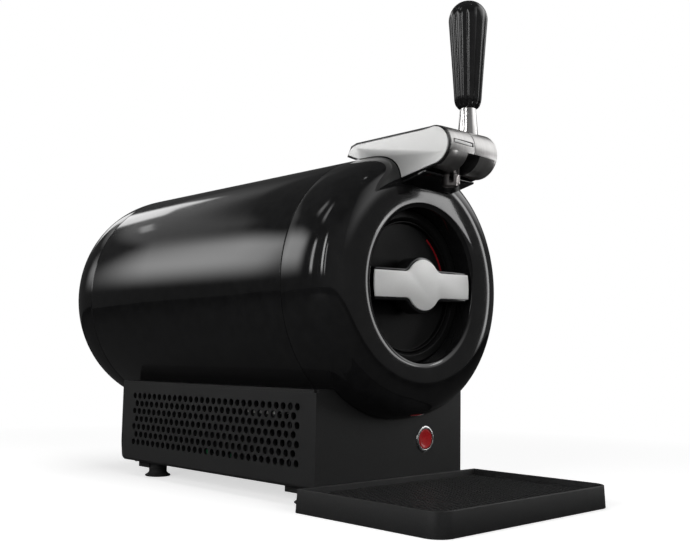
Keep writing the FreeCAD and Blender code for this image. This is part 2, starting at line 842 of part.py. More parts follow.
def blended_bar(body, start, length, width, hub, thick, blend):
    """A bar with a round hub, whose inner corners are filled."""
    pad(body, outline(sketch_on(body, "Y", start), centred(length, width)), thick, "Y")
    pad(body, circle(sketch_on(body, "Y", start), hub), thick, "Y")
    reach = math.sqrt(max(size(hub) ** 2 - (size(width) / 2) ** 2, 0))

    def inner_corner(edge):
        ends = edge.Vertexes
        if len(ends) < 2 or abs(ends[1].Point.y - ends[0].Point.y) < size(thick) * 0.9:
            return False
        return abs(abs(ends[0].Point.x) - reach) < 0.1
    rounded(body, blend, inner_corner)


def make_bar_plate():
    body = new_body("plate")
    blended_bar(body, "0", "bar_length", "bar_width", "bar_hub", "bar_thick", "bar_blend")
    node(body, "door_bar_plate", z="axis_height", turn="bar_tilt")


def make_bar_grip():
    body = new_body("grip")
    width = "(bar_width + 2 * grip_rise)"
    blended_bar(body, "bar_thick", "bar_length - 2 * grip_inset", width,
                "bar_hub + grip_rise", "grip_depth", "bar_blend - grip_rise")
    start = "(bar_thick + grip_depth)"
    inner = "2 * (dial_radius - dial_edge - 4)"
    foot = outline(sketch_on(body, "Y", start), centred(inner, width))
    pad(body, foot, f"dial_floor - {start}", "Y")
    node(body, "door_grip", z="axis_height", turn="bar_tilt")


def make_bayonet_rotor():
    body = new_body("rotor")
    back = f"({ROTOR_FRONT} + lug_thick)"
    about_y(body, ring(ROTOR_FRONT, back, "shaft_radius", "tab_radius - 2"))
    lug = about_y(body, ring(ROTOR_FRONT, back, "tab_radius - 3", "lug_radius"),
                  angle="lug_angle")
    around(body, lug, "Y", "3")
    node(body, "bayonet_rotor", z="axis_height")


def make_dial_screw():
    body = new_body("centre_screw")
    start = f"({ROTOR_FRONT} + lug_thick + 1)"
    about_y(body, [(start, "0"), (start, "shaft_radius + 3"), (f"{start} + 2", "shaft_radius + 2"),
                   (f"{start} + 2", "0")])
    node(body, "rotor_cap", z="axis_height")


make_bayonet_ring()
make_chamber_seal()
make_door_rim()
make_door_dial()
make_lock_mark()
make_bar_plate()
make_bar_grip()
make_bayonet_rotor()
make_dial_screw()


# Base --------------------------------------------------------------------------------------------

def barrel_cradle(body, start, length):
    """Cuts the round seat of the barrel out of a body of the base."""
    drawn = circle(sketch_on(body, "Y", start), "barrel_radius", "0", "axis_height")
    pocket(body, drawn, length, backwards=False)


def make_chassis():
    body = new_body("chassis")
    front = "(base_front + base_wall)"
    rear = f"({BASE_REAR} - base_wall)"
    half = INNER_HALF
    deck = outline(sketch_on(body, "Y", front), block(
        "-base_width / 2", "base_top - base_wall", "base_width / 2", "base_top"))
    pad(body, deck, f"{BASE_REAR} - {front}", "Y")
    wall = outline(sketch_on(body, "Y", rear), block(f"-{half}", FLOOR_TOP, half, "base_top"))
    pad(body, wall, "base_wall", "Y")
    for place in ("base_front + rib_inset", f"{BASE_REAR} - rib_inset"):
        rib = outline(sketch_on(body, "Y", place), block(f"-{half}", FLOOR_TOP, half, "base_top"))
        pad(body, rib, "rib_thick", "Y")
    drawn = circle(sketch_on(body, "Y", "base_front"), "barrel_radius", "0", "axis_height")
    pocket(body, drawn, "base_length + 1")
    side = "(inlet_width / 2)"
    inlet = outline(sketch_on(body, "Y", f"{rear} - 1"), block(
        f"inlet_x - {side}", "inlet_z - inlet_height / 2",
        f"inlet_x + {side}", "inlet_z + inlet_height / 2"))
    pocket(body, inlet, "base_wall + 2")
    node(body, "base_chassis")


def make_vent_panel(label, side):
    """One side of the base, with its staggered field of round vents."""
    low, high = size("base_bottom"), size("base_top - base_wall")
    front, rear = size("base_front"), size(BASE_REAR)
    half, wall, bend = size("base_width / 2"), size("base_wall"), size("base_round")
    pitch, radius = size("vent_pitch"), size("vent_radius")
    x = half - wall
    centres = []
    step = pitch * math.sin(math.pi / 3)
    rows = int((high - low - size("vent_rise + vent_margin")) / step) + 1
    columns = int(size("(base_length - 2 * vent_start) / vent_pitch")) + 1
    for j in range(rows):
        shift = pitch / 2 * (j % 2)
        z = low + size("vent_rise") + j * step
        for i in range(columns - j % 2):
            centres.append(Vector(x, front + size("vent_start") + shift + i * pitch, z))
    corners = [Vector(x, front, low), Vector(x, rear, low), Vector(x, rear, high),
               Vector(x, front, high)]
    edge = rounded_wire(corners, [0, bend, 0, 0])
    plate = punched(edge, centres, radius, wall, Vector(1, 0, 0))
    if side < 0:
        plate = plate.mirror(Vector(), Vector(1, 0, 0))
    feature_node(label, plate)


def make_front_panel():
    body = new_body("front")
    half = INNER_HALF
    drawn = outline(sketch_on(body, "Y", "base_front"),
                    block(f"-{half}", "base_bottom", half, "base_top"))
    pad(body, drawn, "base_wall", "Y")
    seat = circle(sketch_on(body, "Y", "base_front - 1"), "barrel_radius", "0", "axis_height")
    pocket(body, seat, "base_wall + 2")
    hole = circle(sketch_on(body, "Y", "base_front - 1"), "button_radius + button_gap + bezel_sleeve",
                  "button_x", "button_z")
    pocket(body, hole, "base_wall + 2")
    node(body, "front_panel")


def screw_places():
    inset = "(base_width / 2 - base_wall - 8)"
    return [(f"{sign}{inset}", place) for place in
            ("base_front + 14", f"{BASE_REAR} - 14") for sign in ("-", "")]


def make_floor():
    """The floor of the base, with its air intake and the four bosses of the feet."""
    body = new_body("floor")
    half = INNER_HALF
    front, rear = "base_front + base_wall", f"({BASE_REAR} - base_wall)"
    drawn = outline(sketch_on(body, "Z", "base_bottom"), block(f"-{half}", front, half, rear))
    pad(body, drawn, "base_wall")
    for place in ("foot_front", "foot_rear"):
        for sign in ("-", ""):
            boss = sketch_on(body, "Z", "foot_height")
            circle(boss, "foot_radius", f"{sign}foot_spread", place)
            pad(body, boss, "base_bottom - foot_height")
            horn = sketch_on(body, "Z", "foot_height")
            low, high = f"{place} + 1", f"{place} + boss_width"
            outline(horn, block(f"{sign}foot_spread - boss_width / 2", low,
                                f"{sign}foot_spread + boss_width / 2", high))
            pad(body, horn, "base_bottom - foot_height")
    slot = sketch_on(body, "Z", FLOOR_TOP)
    span = "(slot_pitch * (slot_count - 1))"
    outline(slot, block(f"-{span} / 2 - slot_width / 2", "cooler_y - slot_length / 2",
                        f"-{span} / 2 + slot_width / 2", "cooler_y + slot_length / 2"))
    first = pocket(body, slot, "base_wall + 1")
    along(body, first, "X", span, "slot_count")
    holes = sketch_on(body, "Z", FLOOR_TOP)
    for x, y in screw_places():
        circle(holes, "screw_shank + running_fit", x, y)
    pocket(body, holes, "base_wall + 1")
    heads = sketch_on(body, "Z", "base_bottom")
    for x, y in screw_places():
        circle(heads, "screw_head + head_room", x, y)
    pocket(body, heads, "screw_head_height + head_room")
    node(body, "base_floor")


def make_foot(label, sign, place):
    body = new_body(label)
    about_z(body, [("0", "0"), ("0", "foot_flare"), ("foot_lip", "foot_flare"),
                   ("foot_skirt", "foot_radius"), ("foot_height", "foot_radius"),
                   ("foot_height", "0")])
    node(body, label, x=f"{sign}foot_spread", y=place)


def make_bezel():
    body = new_body("bezel_ring")
    inner = "button_radius + button_gap"
    about_y(body, [("-bezel_proud", inner), ("-bezel_proud", "bezel_radius - 0.6"),
                   ("0", "bezel_radius"), ("0", f"{inner} + bezel_sleeve"),
                   ("base_wall", f"{inner} + bezel_sleeve"), ("base_wall", inner)])
    node(body, "button_bezel", x="button_x", y="base_front", z="button_z")


def make_button():
    body = new_body("button")
    flange = "(base_wall + 0.4)"
    stem = "(base_wall + 6)"
    about_y(body, [("-button_proud", "0"), ("-button_proud", "button_radius - 0.5"),
                   ("0.5 - button_proud", "button_radius"), (flange, "button_radius"),
                   (flange, "button_flange"), (f"{flange} + 1.5", "button_flange"),
                   (f"{flange} + 1.5", "2.5"), (stem, "2.5"), (stem, "0")])
    node(body, "power_button", x="button_x", y="base_front", z="button_z")


def make_switch():
    body = new_body("switch")
    start = "(base_wall + 6 + button_travel + 0.3)"
    foot = f"{FLOOR_TOP} - button_z"
    drawn = outline(sketch_on(body, "Y", start), block(
        "-switch_width / 2", foot, "switch_width / 2", "switch_width / 2"))
    pad(body, drawn, "switch_depth", "Y")
    node(body, "button_switch", x="button_x", y="base_front", z="button_z")


def make_board():
    """The control board on its posts, with its main parts."""
    body = new_body("board")
    pad(body, outline(sketch_on(body, "Z"), centred("board_width", "board_length")),
        "board_thick")
    for sx in ("-", ""):
        for sy in ("-", ""):
            post = sketch_on(body, "Z", "-board_rise")
            circle(post, "3", f"{sx}(board_width / 2 - 4)", f"{sy}(board_length / 2 - 4)")
            pad(body, post, "board_rise")
    for x, y, width, length, tall in ((-14, 0, 22, 24, 16), (14, 8, 16, 14, 12), (16, -10, 20, 8, 7)):
        part = sketch_on(body, "Z", "board_thick")
        outline(part, block(f"{x - width / 2}", f"{y - length / 2}", f"{x + width / 2}",
                            f"{y + length / 2}"))
        pad(body, part, f"{tall}")
    node(body, "control_board", x="board_width / 4",
         y=f"{BASE_REAR} - board_length / 2 - rib_inset - board_room", z=f"{FLOOR_TOP} + board_rise")


def make_inlet():
    """The mains inlet: a rimmed shell with a well and two pins."""
    body = new_body("inlet")
    pad(body, outline(sketch_on(body, "Y", "-inlet_depth"), centred("inlet_width", "inlet_height")),
        "inlet_depth", "Y")
    pad(body, outline(sketch_on(body, "Y"), centred(
        "inlet_width + 2 * inlet_rim", "inlet_height + 2 * inlet_rim")), "inlet_rim / 2", "Y")
    well = outline(sketch_on(body, "Y", "inlet_rim / 2 - inlet_depth + 3"), centred(
        "inlet_width - 2 * inlet_rim", "inlet_height - 2 * inlet_rim"))
    pocket(body, well, "inlet_depth")
    for sign in ("-", ""):
        contact = circle(sketch_on(body, "Y", "inlet_rim / 2 - inlet_depth + 3"), "1.2",
                         f"{sign}inlet_width / 6")
        pad(body, contact, "inlet_depth - 6", "Y")
    node(body, "power_inlet", x="inlet_x", y=BASE_REAR, z="inlet_z")


def make_floor_screws():
    solids = []
    head, shank = size("screw_head"), size("screw_shank")
    low, wall = size("base_bottom"), size("base_wall")
    for x, y in screw_places():
        spot = Vector(size(x), size(y), low)
        thick = size("screw_head_height")
        screw = Part.makeCylinder(head, thick, spot - Vector(0, 0, thick))
        solids.append(screw.fuse(Part.makeCylinder(shank, wall, spot)).removeSplitter())
    feature_node("floor_screws", Part.makeCompound(solids))


make_chassis()
make_vent_panel("left_vent_panel", -1)
make_vent_panel("right_vent_panel", 1)
make_front_panel()
make_floor()
for foot_name, foot_sign, foot_place in (
        ("front_left_foot", "-", "foot_front"), ("front_right_foot", "", "foot_front"),
        ("rear_left_foot", "-", "foot_rear"), ("rear_right_foot", "", "foot_rear")):
    make_foot(foot_name, foot_sign, foot_place)
make_bezel()
make_button()
make_switch()
make_board()
make_inlet()
make_floor_screws()


# Drip tray ---------------------------------------------------------------------------------------

def tray_wire(inset, height):
    """The tray's outline, shrunk by an inset, with its front corners rounded."""
    half = size(f"tray_width / 2 - ({inset})")
    front = size(f"({inset}) - tray_reach")
    rear = size(f"base_front - tray_gap - ({inset})")
    bend = max(size(f"tray_round - ({inset})"), 1)
    corners = [Vector(-half, front, height), Vector(half, front, height),
               Vector(half, rear, height), Vector(-half, rear, height)]
    return rounded_wire(corners, [bend, bend, 0, 0])


def tray_space(inset, low, high):
    """The room inside the tray between two heights."""
    return Part.Face(tray_wire(inset, low)).extrude(Vector(0, 0, high - low))


def make_tray():
    """A shallow tray with leaning sides, a ledge for its grid and a tongue that slides under the base."""
    height = size("tray_height")
    blank = Part.makeLoft([tray_wire("0", 0), tray_wire("tray_draft", height)], True, True)
    shelf = size(f"{GRID_TOP} - grid_thick")
    well = tray_space("tray_draft + tray_wall", shelf, height + 1)
    sump = tray_space("tray_draft + tray_wall + ledge_width", size("tray_floor"), shelf + 1)
    half, rear = size("tongue_half"), size("base_front")
    root = box(-half, half, rear - size("tray_gap + tray_wall"), rear + 2 * size("tongue_thick"),
               size("tray_floor"), size("base_bottom - tray_gap"))
    tongue = box(-half, half, rear + size("tray_gap"), rear + size("tongue_length"),
                 size("base_bottom - tray_gap - tongue_thick"), size("base_bottom - tray_gap"))
    tray = blank.cut(well).cut(sump).fuse(root).fuse(tongue)
    feature_node("drip_tray", tray.removeSplitter())


def make_grid():
    """The punched grid in the tray, one pitch between its staggered holes."""
    inset = "tray_draft + tray_wall + grid_gap"
    half = size(f"tray_width / 2 - ({inset})")
    front = size(f"-tray_reach + {inset}")
    rear = size(f"base_front - tray_gap - ({inset})")
    pitch, margin = size("grid_pitch"), size("grid_margin")
    step = pitch * math.sin(math.pi / 3)
    rows = int((rear - front - 2 * margin) / step)
    columns = int((2 * half - 2 * margin) / pitch)
    centres = []
    for j in range(rows + 1):
        count = columns + 1 - j % 2
        for i in range(count):
            x = (i - (count - 1) / 2) * pitch
            y = (front + rear) / 2 + (j - rows / 2) * step
            if abs(x) > half - 12 and y < front + 12:
                continue
            centres.append(Vector(x, y, 0))
    plate = punched(tray_wire(inset, 0), centres, size("grid_hole"), size("grid_thick"),
                    Vector(0, 0, 1))
    feature_node("drip_grid", plate, z=f"{GRID_TOP} - grid_thick")


make_tray()
make_grid()


# Tap head ----------------------------------------------------------------------------------------

def head_outline(inset):
    """The side view of the tap head, from its front arc back along its flat top to the tip."""
    drum_y, drum_z = size("drum_y"), size("drum_z")
    radius = size("cheek_arc") - inset
    top = size("head_top") - inset
    slope_y, slope_z = size("cheek_slope_y"), size("cheek_slope_z") + inset
    reach = math.hypot(slope_y - drum_y, slope_z - drum_z)
    toward = math.atan2(slope_z - drum_z, slope_y - drum_y)
    touch = toward - math.acos(radius / reach)
    start = Vector(0, drum_y + radius * math.cos(touch), drum_z + radius * math.sin(touch))
    up = min((top - drum_z) / radius, 1)
    crown = Vector(0, drum_y + radius * math.sqrt(1 - up * up), drum_z + radius * up)
    front = Vector(0, drum_y - radius, drum_z)
    tip_y, tip_z = size("cheek_tip_y") - inset, size("cheek_tip_z") + inset
    corners = [crown, Vector(0, tip_y - size("tail_top"), top),
               Vector(0, tip_y - size("tail_step"), top - size("tail_drop")),
               Vector(0, tip_y, tip_z),
               Vector(0, tip_y - size("tail_under"), tip_z - size("tail_under_drop")),
               Vector(0, size("belly_y"), size("belly_z")), Vector(0, slope_y, slope_z), start]
    edges = [Part.Arc(start, front, crown).toShape()] + path(corners)
    return Part.Face(Part.Wire(Part.__sortEdges__(edges)))


def seat_space():
    """The nose and barrel with the gap over them, which the tap head stays clear of."""
    gap, centre = size("seat_gap"), size("nose_depth - nose_straight")
    radius, crest, reach = size("barrel_radius"), size("crest_radius"), size("nose_bulge")
    curve, _ = superellipse(centre, crest, -reach - gap, radius + gap - crest, NOSE_POWER)
    front, rear = centre - reach - gap, centre + 2 * reach
    space = spun([curve] + path([
        Vector(0, centre, radius + gap), Vector(0, rear, radius + gap), Vector(0, rear, 0),
        Vector(0, front, 0), Vector(0, front, crest)]))
    space.translate(Vector(0, 0, size("axis_height")))
    return space


def head_slab(inset, x0, x1):
    """A slice of the tap head, clear of the nose and barrel at rest and while it lifts."""
    slab = head_outline(inset).extrude(Vector(x1 - x0, 0, 0))
    slab.translate(Vector(x0, 0, 0))
    slab = slab.cut(seat_space())
    hinge = Vector(0, size("hinge_y"), size("hinge_z"))
    for share in (0.5, 1.0):
        barrel = Part.makeCylinder(size("barrel_radius + tail_gap"), size(REAR_SEAM), Vector(
            0, size("nose_depth - nose_straight"), size("axis_height")), Vector(0, 1, 0))
        barrel.rotate(hinge, Vector(1, 0, 0), size("head_swing") * share)
        slab = slab.cut(barrel)
    return slab


def across(radius, x0, x1, y, z):
    """A round bar along X."""
    return Part.makeCylinder(radius, x1 - x0, Vector(x0, y, z), Vector(1, 0, 0))


def make_cheek(label, side):
    half = size("head_half")
    plate = head_slab(size("cheek_inset"), half + size("arm_proud"), half + size("cheek_thick"))
    if side < 0:
        plate = plate.mirror(Vector(), Vector(1, 0, 0))
    feature_node(label, plate)


def make_head_body():
    half = size("head_half")
    drum_y, drum_z = size("drum_y"), size("drum_z")
    room = size("drum_radius + drum_taper + drum_gap")
    body = head_slab(size("head_inset"), -half, half)
    body = body.cut(across(room, -half, half, drum_y, drum_z))
    body = body.cut(box(-half, half, drum_y - room, drum_y, drum_z - 2 * room, drum_z + 2 * room))
    body = body.cut(box(-half, half, drum_y - room, size("throat_y"), drum_z - 2 * room, drum_z))
    hinge_y, hinge_z = size("hinge_y"), size("hinge_z")
    side = size("bracket_half + bracket_gap")
    sweep = size("hinge_radius + bracket_wall + bracket_gap")
    body = body.cut(across(sweep, -side, side, hinge_y, hinge_z))
    body = body.cut(box(-side, side, hinge_y - sweep, hinge_y + 20, 0, hinge_z))
    bore = size("hinge_radius + running_fit")
    body = body.cut(across(bore, -half, half, hinge_y, hinge_z))
    tube = size("tube_half")
    channel = box(-tube, tube, drum_y, size("port_y + port_radius"), size("tube_low"),
                  size("tube_high"))
    low = box(-tube, tube, drum_y, 2, 0, size("tube_low") + 1)
    body = body.cut(channel).cut(low)
    proud = half + size("arm_proud")
    axle = across(size("axle_radius"), -proud, proud, drum_y, drum_z)
    for x0, x1 in ((-proud, -size("drum_left")), (half, proud)):
        arm = head_slab(0, x0, x1).cut(axle).cut(across(bore, -proud, proud, hinge_y, hinge_z))
        body = body.fuse(arm)
    feature_node("head_body", body.removeSplitter())


def drum_solid(x0, x1):
    """A stretch of the drum, which widens from left to right."""
    taper = size("drum_taper") / size("head_half")
    left = size("drum_radius") + taper * x0
    right = size("drum_radius") + taper * x1
    return Part.makeCone(left, right, x1 - x0, Vector(x0, size("drum_y"), size("drum_z")),
                         Vector(1, 0, 0))


def notch_top():
    """How high the nozzle's notch reaches into the drum."""
    return size("drum_z - drum_core / sqrt(2)")


def nozzle_notch(x0, x1):
    """The room for the nozzle under the drum, around its core."""
    room = 2 * size("drum_radius")
    y, z = size("drum_y"), size("drum_z")
    space = box(x0, x1, y - room, y + room, z - room, notch_top())
    return space.cut(across(size("drum_core"), x0, x1, y, z))


def make_drum_cap():
    """The still half of the drum, with the slot of its latch tab."""
    half, seam = size("head_half"), size("drum_seam")
    y, z = size("drum_y"), size("drum_z")
    cap = drum_solid(-size("drum_left"), -seam).cut(across(size("axle_radius"), -half, 0, y, z))
    cap = cap.cut(nozzle_notch(-size("notch_width"), 0))
    low = z + size("tab_rise - tab_height / 2")
    slot = box(-seam - size("tab_length") - 1, -size("tab_end") + 0.8, y - 30, y - size("drum_radius - tab_depth"),
               low, low + size("tab_height"))
    feature_node("drum_cap", cap.cut(slot).removeSplitter())


def make_latch_tab():
    seam = size("drum_seam")
    y, z = size("drum_y"), size("drum_z")
    low = z + size("tab_rise - tab_plate / 2")
    back = y - size("drum_radius - tab_depth")
    feature_node("latch_tab", box(-seam - size("tab_length"), -size("tab_end"), back - size("tab_depth"),
                                  back, low, low + size("tab_plate")))


def make_axle_pin():
    half = size("head_half")
    feature_node("axle_pin", across(size("axle_radius"), -half, half, size("drum_y"),
                                    size("drum_z")))


def make_anvil():
    y = size("throat_y")
    tube, thick = size("tube_half"), size("anvil_thick")
    low = size("tube_low") - size("anvil_height")
    feature_node("pinch_anvil", box(-tube - 2, tube + 2, y - thick, y, low,
                                    low + size("anvil_height")))


def make_lever_hub():
    """The turning half of the drum, with a rounded outer end and the lever's socket."""
    seam, end = size("drum_seam"), size("head_half - drum_seam")
    y, z = size("drum_y"), size("drum_z")
    hub = drum_solid(seam, end)
    rim = [e for e in hub.Edges if e.Closed and abs(e.Vertexes[0].Point.x - end) < 1e-4]
    hub = hub.makeFillet(size("drum_round"), rim)
    hub = hub.cut(across(size("axle_radius + running_fit"), 0, end + 1, y, z))
    hub = hub.cut(nozzle_notch(0, size("notch_width")))
    socket = Part.makeCylinder(size("stud_radius"), 3 * size("drum_radius"),
                               Vector(size("lever_x"), y, z + size("drum_core")))
    feature_node("lever_hub", hub.cut(socket).removeSplitter())


def make_pinch_cam():
    """A lobe on the hub's core that squeezes the beer tube shut while the lever stands."""
    seam, width = size("drum_seam"), size("cam_width")
    core, reach, half = size("drum_core"), size("cam_radius"), size("cam_half")
    lobe = box(seam, seam + width, core * 0.9, reach, -half, half)
    lobe.rotate(Vector(), Vector(1, 0, 0), -35)
    lobe.translate(Vector(0, size("drum_y"), size("drum_z")))
    lobe = lobe.cut(across(core, 0, seam + width, size("drum_y"), size("drum_z")))
    below = notch_top() - 0.1
    room = box(0, seam + width, -999, 999, below - 2 * reach, below)
    feature_node("pinch_cam", lobe.common(room))


def make_lever_neck():
    x, y = size("lever_x"), size("drum_y")
    low, high = size("neck_low_z"), size("neck_high_z")
    slope = size("neck_low - neck_high") / (high - low)
    start = size("drum_z + drum_radius") - 6
    cone = Part.makeCone(size("neck_low") + slope * (low - start), size("neck_high"),
                         high - start, Vector(x, y, start))
    stud = Part.makeCylinder(size("stud_radius"), 2 * high, Vector(x, y, 0))
    neck = cone.cut(drum_solid(size("drum_seam"), size("head_half - drum_seam"))).cut(stud)
    feature_node("lever_neck", neck)


def make_lever_stud():
    low = size("drum_z + drum_core")
    feature_node("lever_stud", Part.makeCylinder(
        size("stud_radius"), size("stud_end") - low,
        Vector(size("lever_x"), size("drum_y"), low)))


def make_lever_grip():
    body = new_body("handle")
    about_z(body, [
        ("neck_high_z", "stud_radius"), ("neck_high_z", "neck_high"),
        ("grip_foot_z", "grip_foot"), ("grip_low_z", "grip_low"),
        ("grip_wide_z", "grip_wide"), ("(grip_wide_z * 2 + grip_top_z) / 3", "grip_wide * 0.96"),
        ("(grip_wide_z + grip_top_z * 2) / 3", "grip_wide * 0.78"),
        ("grip_top_z - 1.2", "grip_wide * 0.45"), ("grip_top_z", "0"), ("stud_end", "0"),
        ("stud_end", "stud_radius")])
    node(body, "lever_grip", x="lever_x", y="drum_y")


def make_chin():
    """The plate under the tap head, sloping up from the nose, with a seat for the nozzle."""
    half, thick = size("chin_half"), size("chin_thick")
    front_y, front_z, back_z = size("chin_front_y"), size("chin_front_z"), size("chin_back_z")
    back_y = size("chin_back_y")
    corners = [Vector(-half, back_y, back_z), Vector(-half, front_y, front_z),
               Vector(-half, front_y, front_z - thick), Vector(-half, back_y, back_z - thick)]
    plate = Part.Face(Part.makePolygon(corners + corners[:1])).extrude(Vector(2 * half, 0, 0))
    nose = nose_solid()
    bore = Part.makeCylinder(size("nozzle_radius"), 2 * front_z,
                             Vector(0, size("nozzle_y"), 0))
    rod = Part.makeCylinder(size("rod_radius"), 2 * front_z,
                            Vector(size("rod_x"), size("rod_y"), 0))
    feature_node("tap_chin", plate.cut(nose).cut(bore).cut(rod))


def nose_solid():
    """The outer form of the nose, filled."""
    centre, reach = size("nose_depth - nose_straight"), size("nose_bulge")
    radius, crest = size("barrel_radius"), size("crest_radius")
    curve, _ = superellipse(centre, crest, -reach, radius - crest, NOSE_POWER)
    solid = spun([curve] + path([
        Vector(0, centre, radius), Vector(0, centre, 0), Vector(0, centre - reach, 0),
        Vector(0, centre - reach, crest)]))
    solid.translate(Vector(0, 0, size("axis_height")))
    return solid


def make_nozzle():
    """A slotted spout that the keg's beer tube is laid into, and the rod beside it."""
    y, radius, wall = size("nozzle_y"), size("nozzle_radius"), size("nozzle_wall")
    low, high = size("nozzle_bottom"), size("nozzle_top")
    tube = Part.makeCylinder(radius, high - low, Vector(0, y, low))
    tube = tube.cut(Part.makeCylinder(radius - wall, high, Vector(0, y, low - 1)))
    slot = box(-size("nozzle_slot") / 2, size("nozzle_slot") / 2, -2 * radius, 0,
               low + size("nozzle_ring"), high + 1)
    slot.rotate(Vector(), Vector(0, 0, 1), -45)
    slot.translate(Vector(0, y, 0))
    rod_x, rod_y, rod = size("rod_x"), size("rod_y"), size("rod_radius")
    top = size("rod_top") - rod
    post = Part.makeCylinder(rod, top - low, Vector(rod_x, rod_y, low))
    post = post.fuse(Part.makeSphere(rod, Vector(rod_x, rod_y, top)))
    post = post.cut(Part.makeCylinder(radius - wall, high, Vector(0, y, low - 1)))
    feature_node("nozzle", tube.cut(slot).fuse(post).removeSplitter())


def make_hinge_bracket():
    half, wall = size("bracket_half"), size("bracket_wall")
    y, z, pin_radius = size("hinge_y"), size("hinge_z"), size("hinge_radius")
    ear = pin_radius + wall
    body = across(ear, -half, half, y, z).fuse(box(-half, half, y - ear, y + ear, z - 20, z))
    barrel = Part.makeCylinder(size("barrel_radius"), size(REAR_SEAM), Vector(
        0, size("nose_depth - nose_straight"), size("axis_height")), Vector(0, 1, 0))
    feature_node("hinge_bracket", body.cut(barrel).cut(
        across(pin_radius, -half, half, y, z)).removeSplitter())


def make_hinge_pin():
    half = size("head_half") - 0.4
    feature_node("hinge_pin", across(size("hinge_radius"), -half, half, size("hinge_y"),
                                     size("hinge_z")))


make_cheek("left_cheek", -1)
make_cheek("right_cheek", 1)
make_head_body()
make_drum_cap()
make_latch_tab()
make_axle_pin()
make_anvil()
make_lever_hub()
make_pinch_cam()
make_lever_neck()
make_lever_stud()
make_lever_grip()
make_chin()
make_nozzle()
make_hinge_bracket()
make_hinge_pin()


# Check and write ---------------------------------------------------------------------------------

doc.recompute()
faults = [item.Name for item in doc.Objects if {"Invalid", "Error"} & set(item.State)]
faults += [item.Label for item in NODES if item.Shape.isNull() or not item.Shape.isValid()]
if faults:
    raise ValueError(f"failed objects: {faults}")
os.makedirs("parts", exist_ok=True)
for item in NODES:
    item.Shape.exportStep(f"parts/{item.Label}.step")
print(len(NODES), "sub-parts written")
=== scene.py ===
# %% [markdown]
# # Counter-top cooler for a small beer keg
#
# The exact solids of the machine are already packed: this script loads them as a frame and dresses them.
# Every piece that is seen from outside gets a finer mesh with soft edges, a material with real detail,
# and a place on the moving body it belongs to. The solids of the inside keep their own mesh and only get
# materials. All lengths in the helpers are millimetres, because that is how the machine was measured;
# one factor turns them into Blender's metres at the very end.

# %% Load the frame
import bmesh
import bpy
import json
import math
from mathutils import Matrix, Vector

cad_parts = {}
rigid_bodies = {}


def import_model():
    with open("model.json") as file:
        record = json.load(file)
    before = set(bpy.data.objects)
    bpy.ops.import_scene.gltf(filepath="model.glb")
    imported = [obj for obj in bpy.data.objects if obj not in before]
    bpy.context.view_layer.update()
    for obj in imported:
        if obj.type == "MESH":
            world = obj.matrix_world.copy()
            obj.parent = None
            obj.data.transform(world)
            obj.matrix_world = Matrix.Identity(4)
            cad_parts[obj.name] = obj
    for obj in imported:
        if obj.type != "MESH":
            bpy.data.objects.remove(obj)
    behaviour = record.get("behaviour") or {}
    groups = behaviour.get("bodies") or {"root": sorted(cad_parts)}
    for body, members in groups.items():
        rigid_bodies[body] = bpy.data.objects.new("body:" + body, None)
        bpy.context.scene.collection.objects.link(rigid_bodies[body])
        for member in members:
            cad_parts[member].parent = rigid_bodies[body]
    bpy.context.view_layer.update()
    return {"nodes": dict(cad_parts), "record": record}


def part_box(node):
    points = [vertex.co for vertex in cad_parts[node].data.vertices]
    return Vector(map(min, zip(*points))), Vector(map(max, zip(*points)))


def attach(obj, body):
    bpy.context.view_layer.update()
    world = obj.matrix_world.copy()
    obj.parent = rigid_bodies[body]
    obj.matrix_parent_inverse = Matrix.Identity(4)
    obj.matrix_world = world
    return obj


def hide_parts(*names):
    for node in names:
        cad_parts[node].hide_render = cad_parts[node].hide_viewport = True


for leftover in list(bpy.data.objects):
    bpy.data.objects.remove(leftover)
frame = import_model()
NODES = frame["nodes"]
print("solids:", len(NODES))

# %% [markdown]
# ## Where things are
#
# Every number that the looks share with the solids is read from the solids' own boxes, so a later change
# of the solids moves the looks along with them. The nose's crest stands 1.6 mm in front of the plane that
# all depths count from, which is the plane through the mouth of the bore.

# %% Key places
MM = 0.001
CREST = 1.6


def low(name):
    """The lowest corner of a solid, in millimetres."""
    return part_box(name)[0] / MM


def high(name):
    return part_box(name)[1] / MM


FACE_Y = low("nose_ring").y + CREST
AXIS_Z = (low("barrel_shell").z + high("barrel_shell").z) / 2
BARREL_R = (high("barrel_shell").z - low("barrel_shell").z) / 2
SEAM_Y = low("barrel_shell").y - FACE_Y
REAR_Y = high("barrel_shell").y - FACE_Y
CAP_Y = high("rear_cap").y - FACE_Y
DRUM = ((low("axle_pin") + high("axle_pin")) / 2) - Vector((0, FACE_Y, 0))
LEVER_X = (low("lever_neck").x + high("lever_neck").x) / 2
BAR_TILT = math.radians(2.25)
print(f"barrel: radius {BARREL_R:.1f}, axis {AXIS_Z:.1f}, from {SEAM_Y:.1f} to {REAR_Y:.1f}, "
      f"cap to {CAP_Y:.1f}")
print(f"drum axis: y {DRUM.y:.1f}, z {DRUM.z:.1f}; lever at x {LEVER_X:.1f}")

# %% [markdown]
# ## Mesh helpers
#
# A part of a machine like this is nearly always one of three things: a profile turned about an axis, an
# outline pushed out into a plate, or a plate with something cut from it. So there are three makers. They
# all draw a few corners, let the bevel operator round them, and leave the rest to spin, extrude and the
# boolean modifier. Working with operators keeps every corner's radius editable, which a list of finished
# points wouldn't.
#
# The drawing plane is always YZ for profiles about Y, as depth and radius. A turning matrix then lays the
# finished mesh along whichever axis the part needs.

# %% Makers
def arc(y, z, radius, start, end, steps=10):
    """Points along an arc in the drawing plane; angles in degrees."""
    turns = [math.radians(start + (end - start) * i / steps) for i in range(steps + 1)]
    return [(y + radius * math.cos(t), z + radius * math.sin(t)) for t in turns]


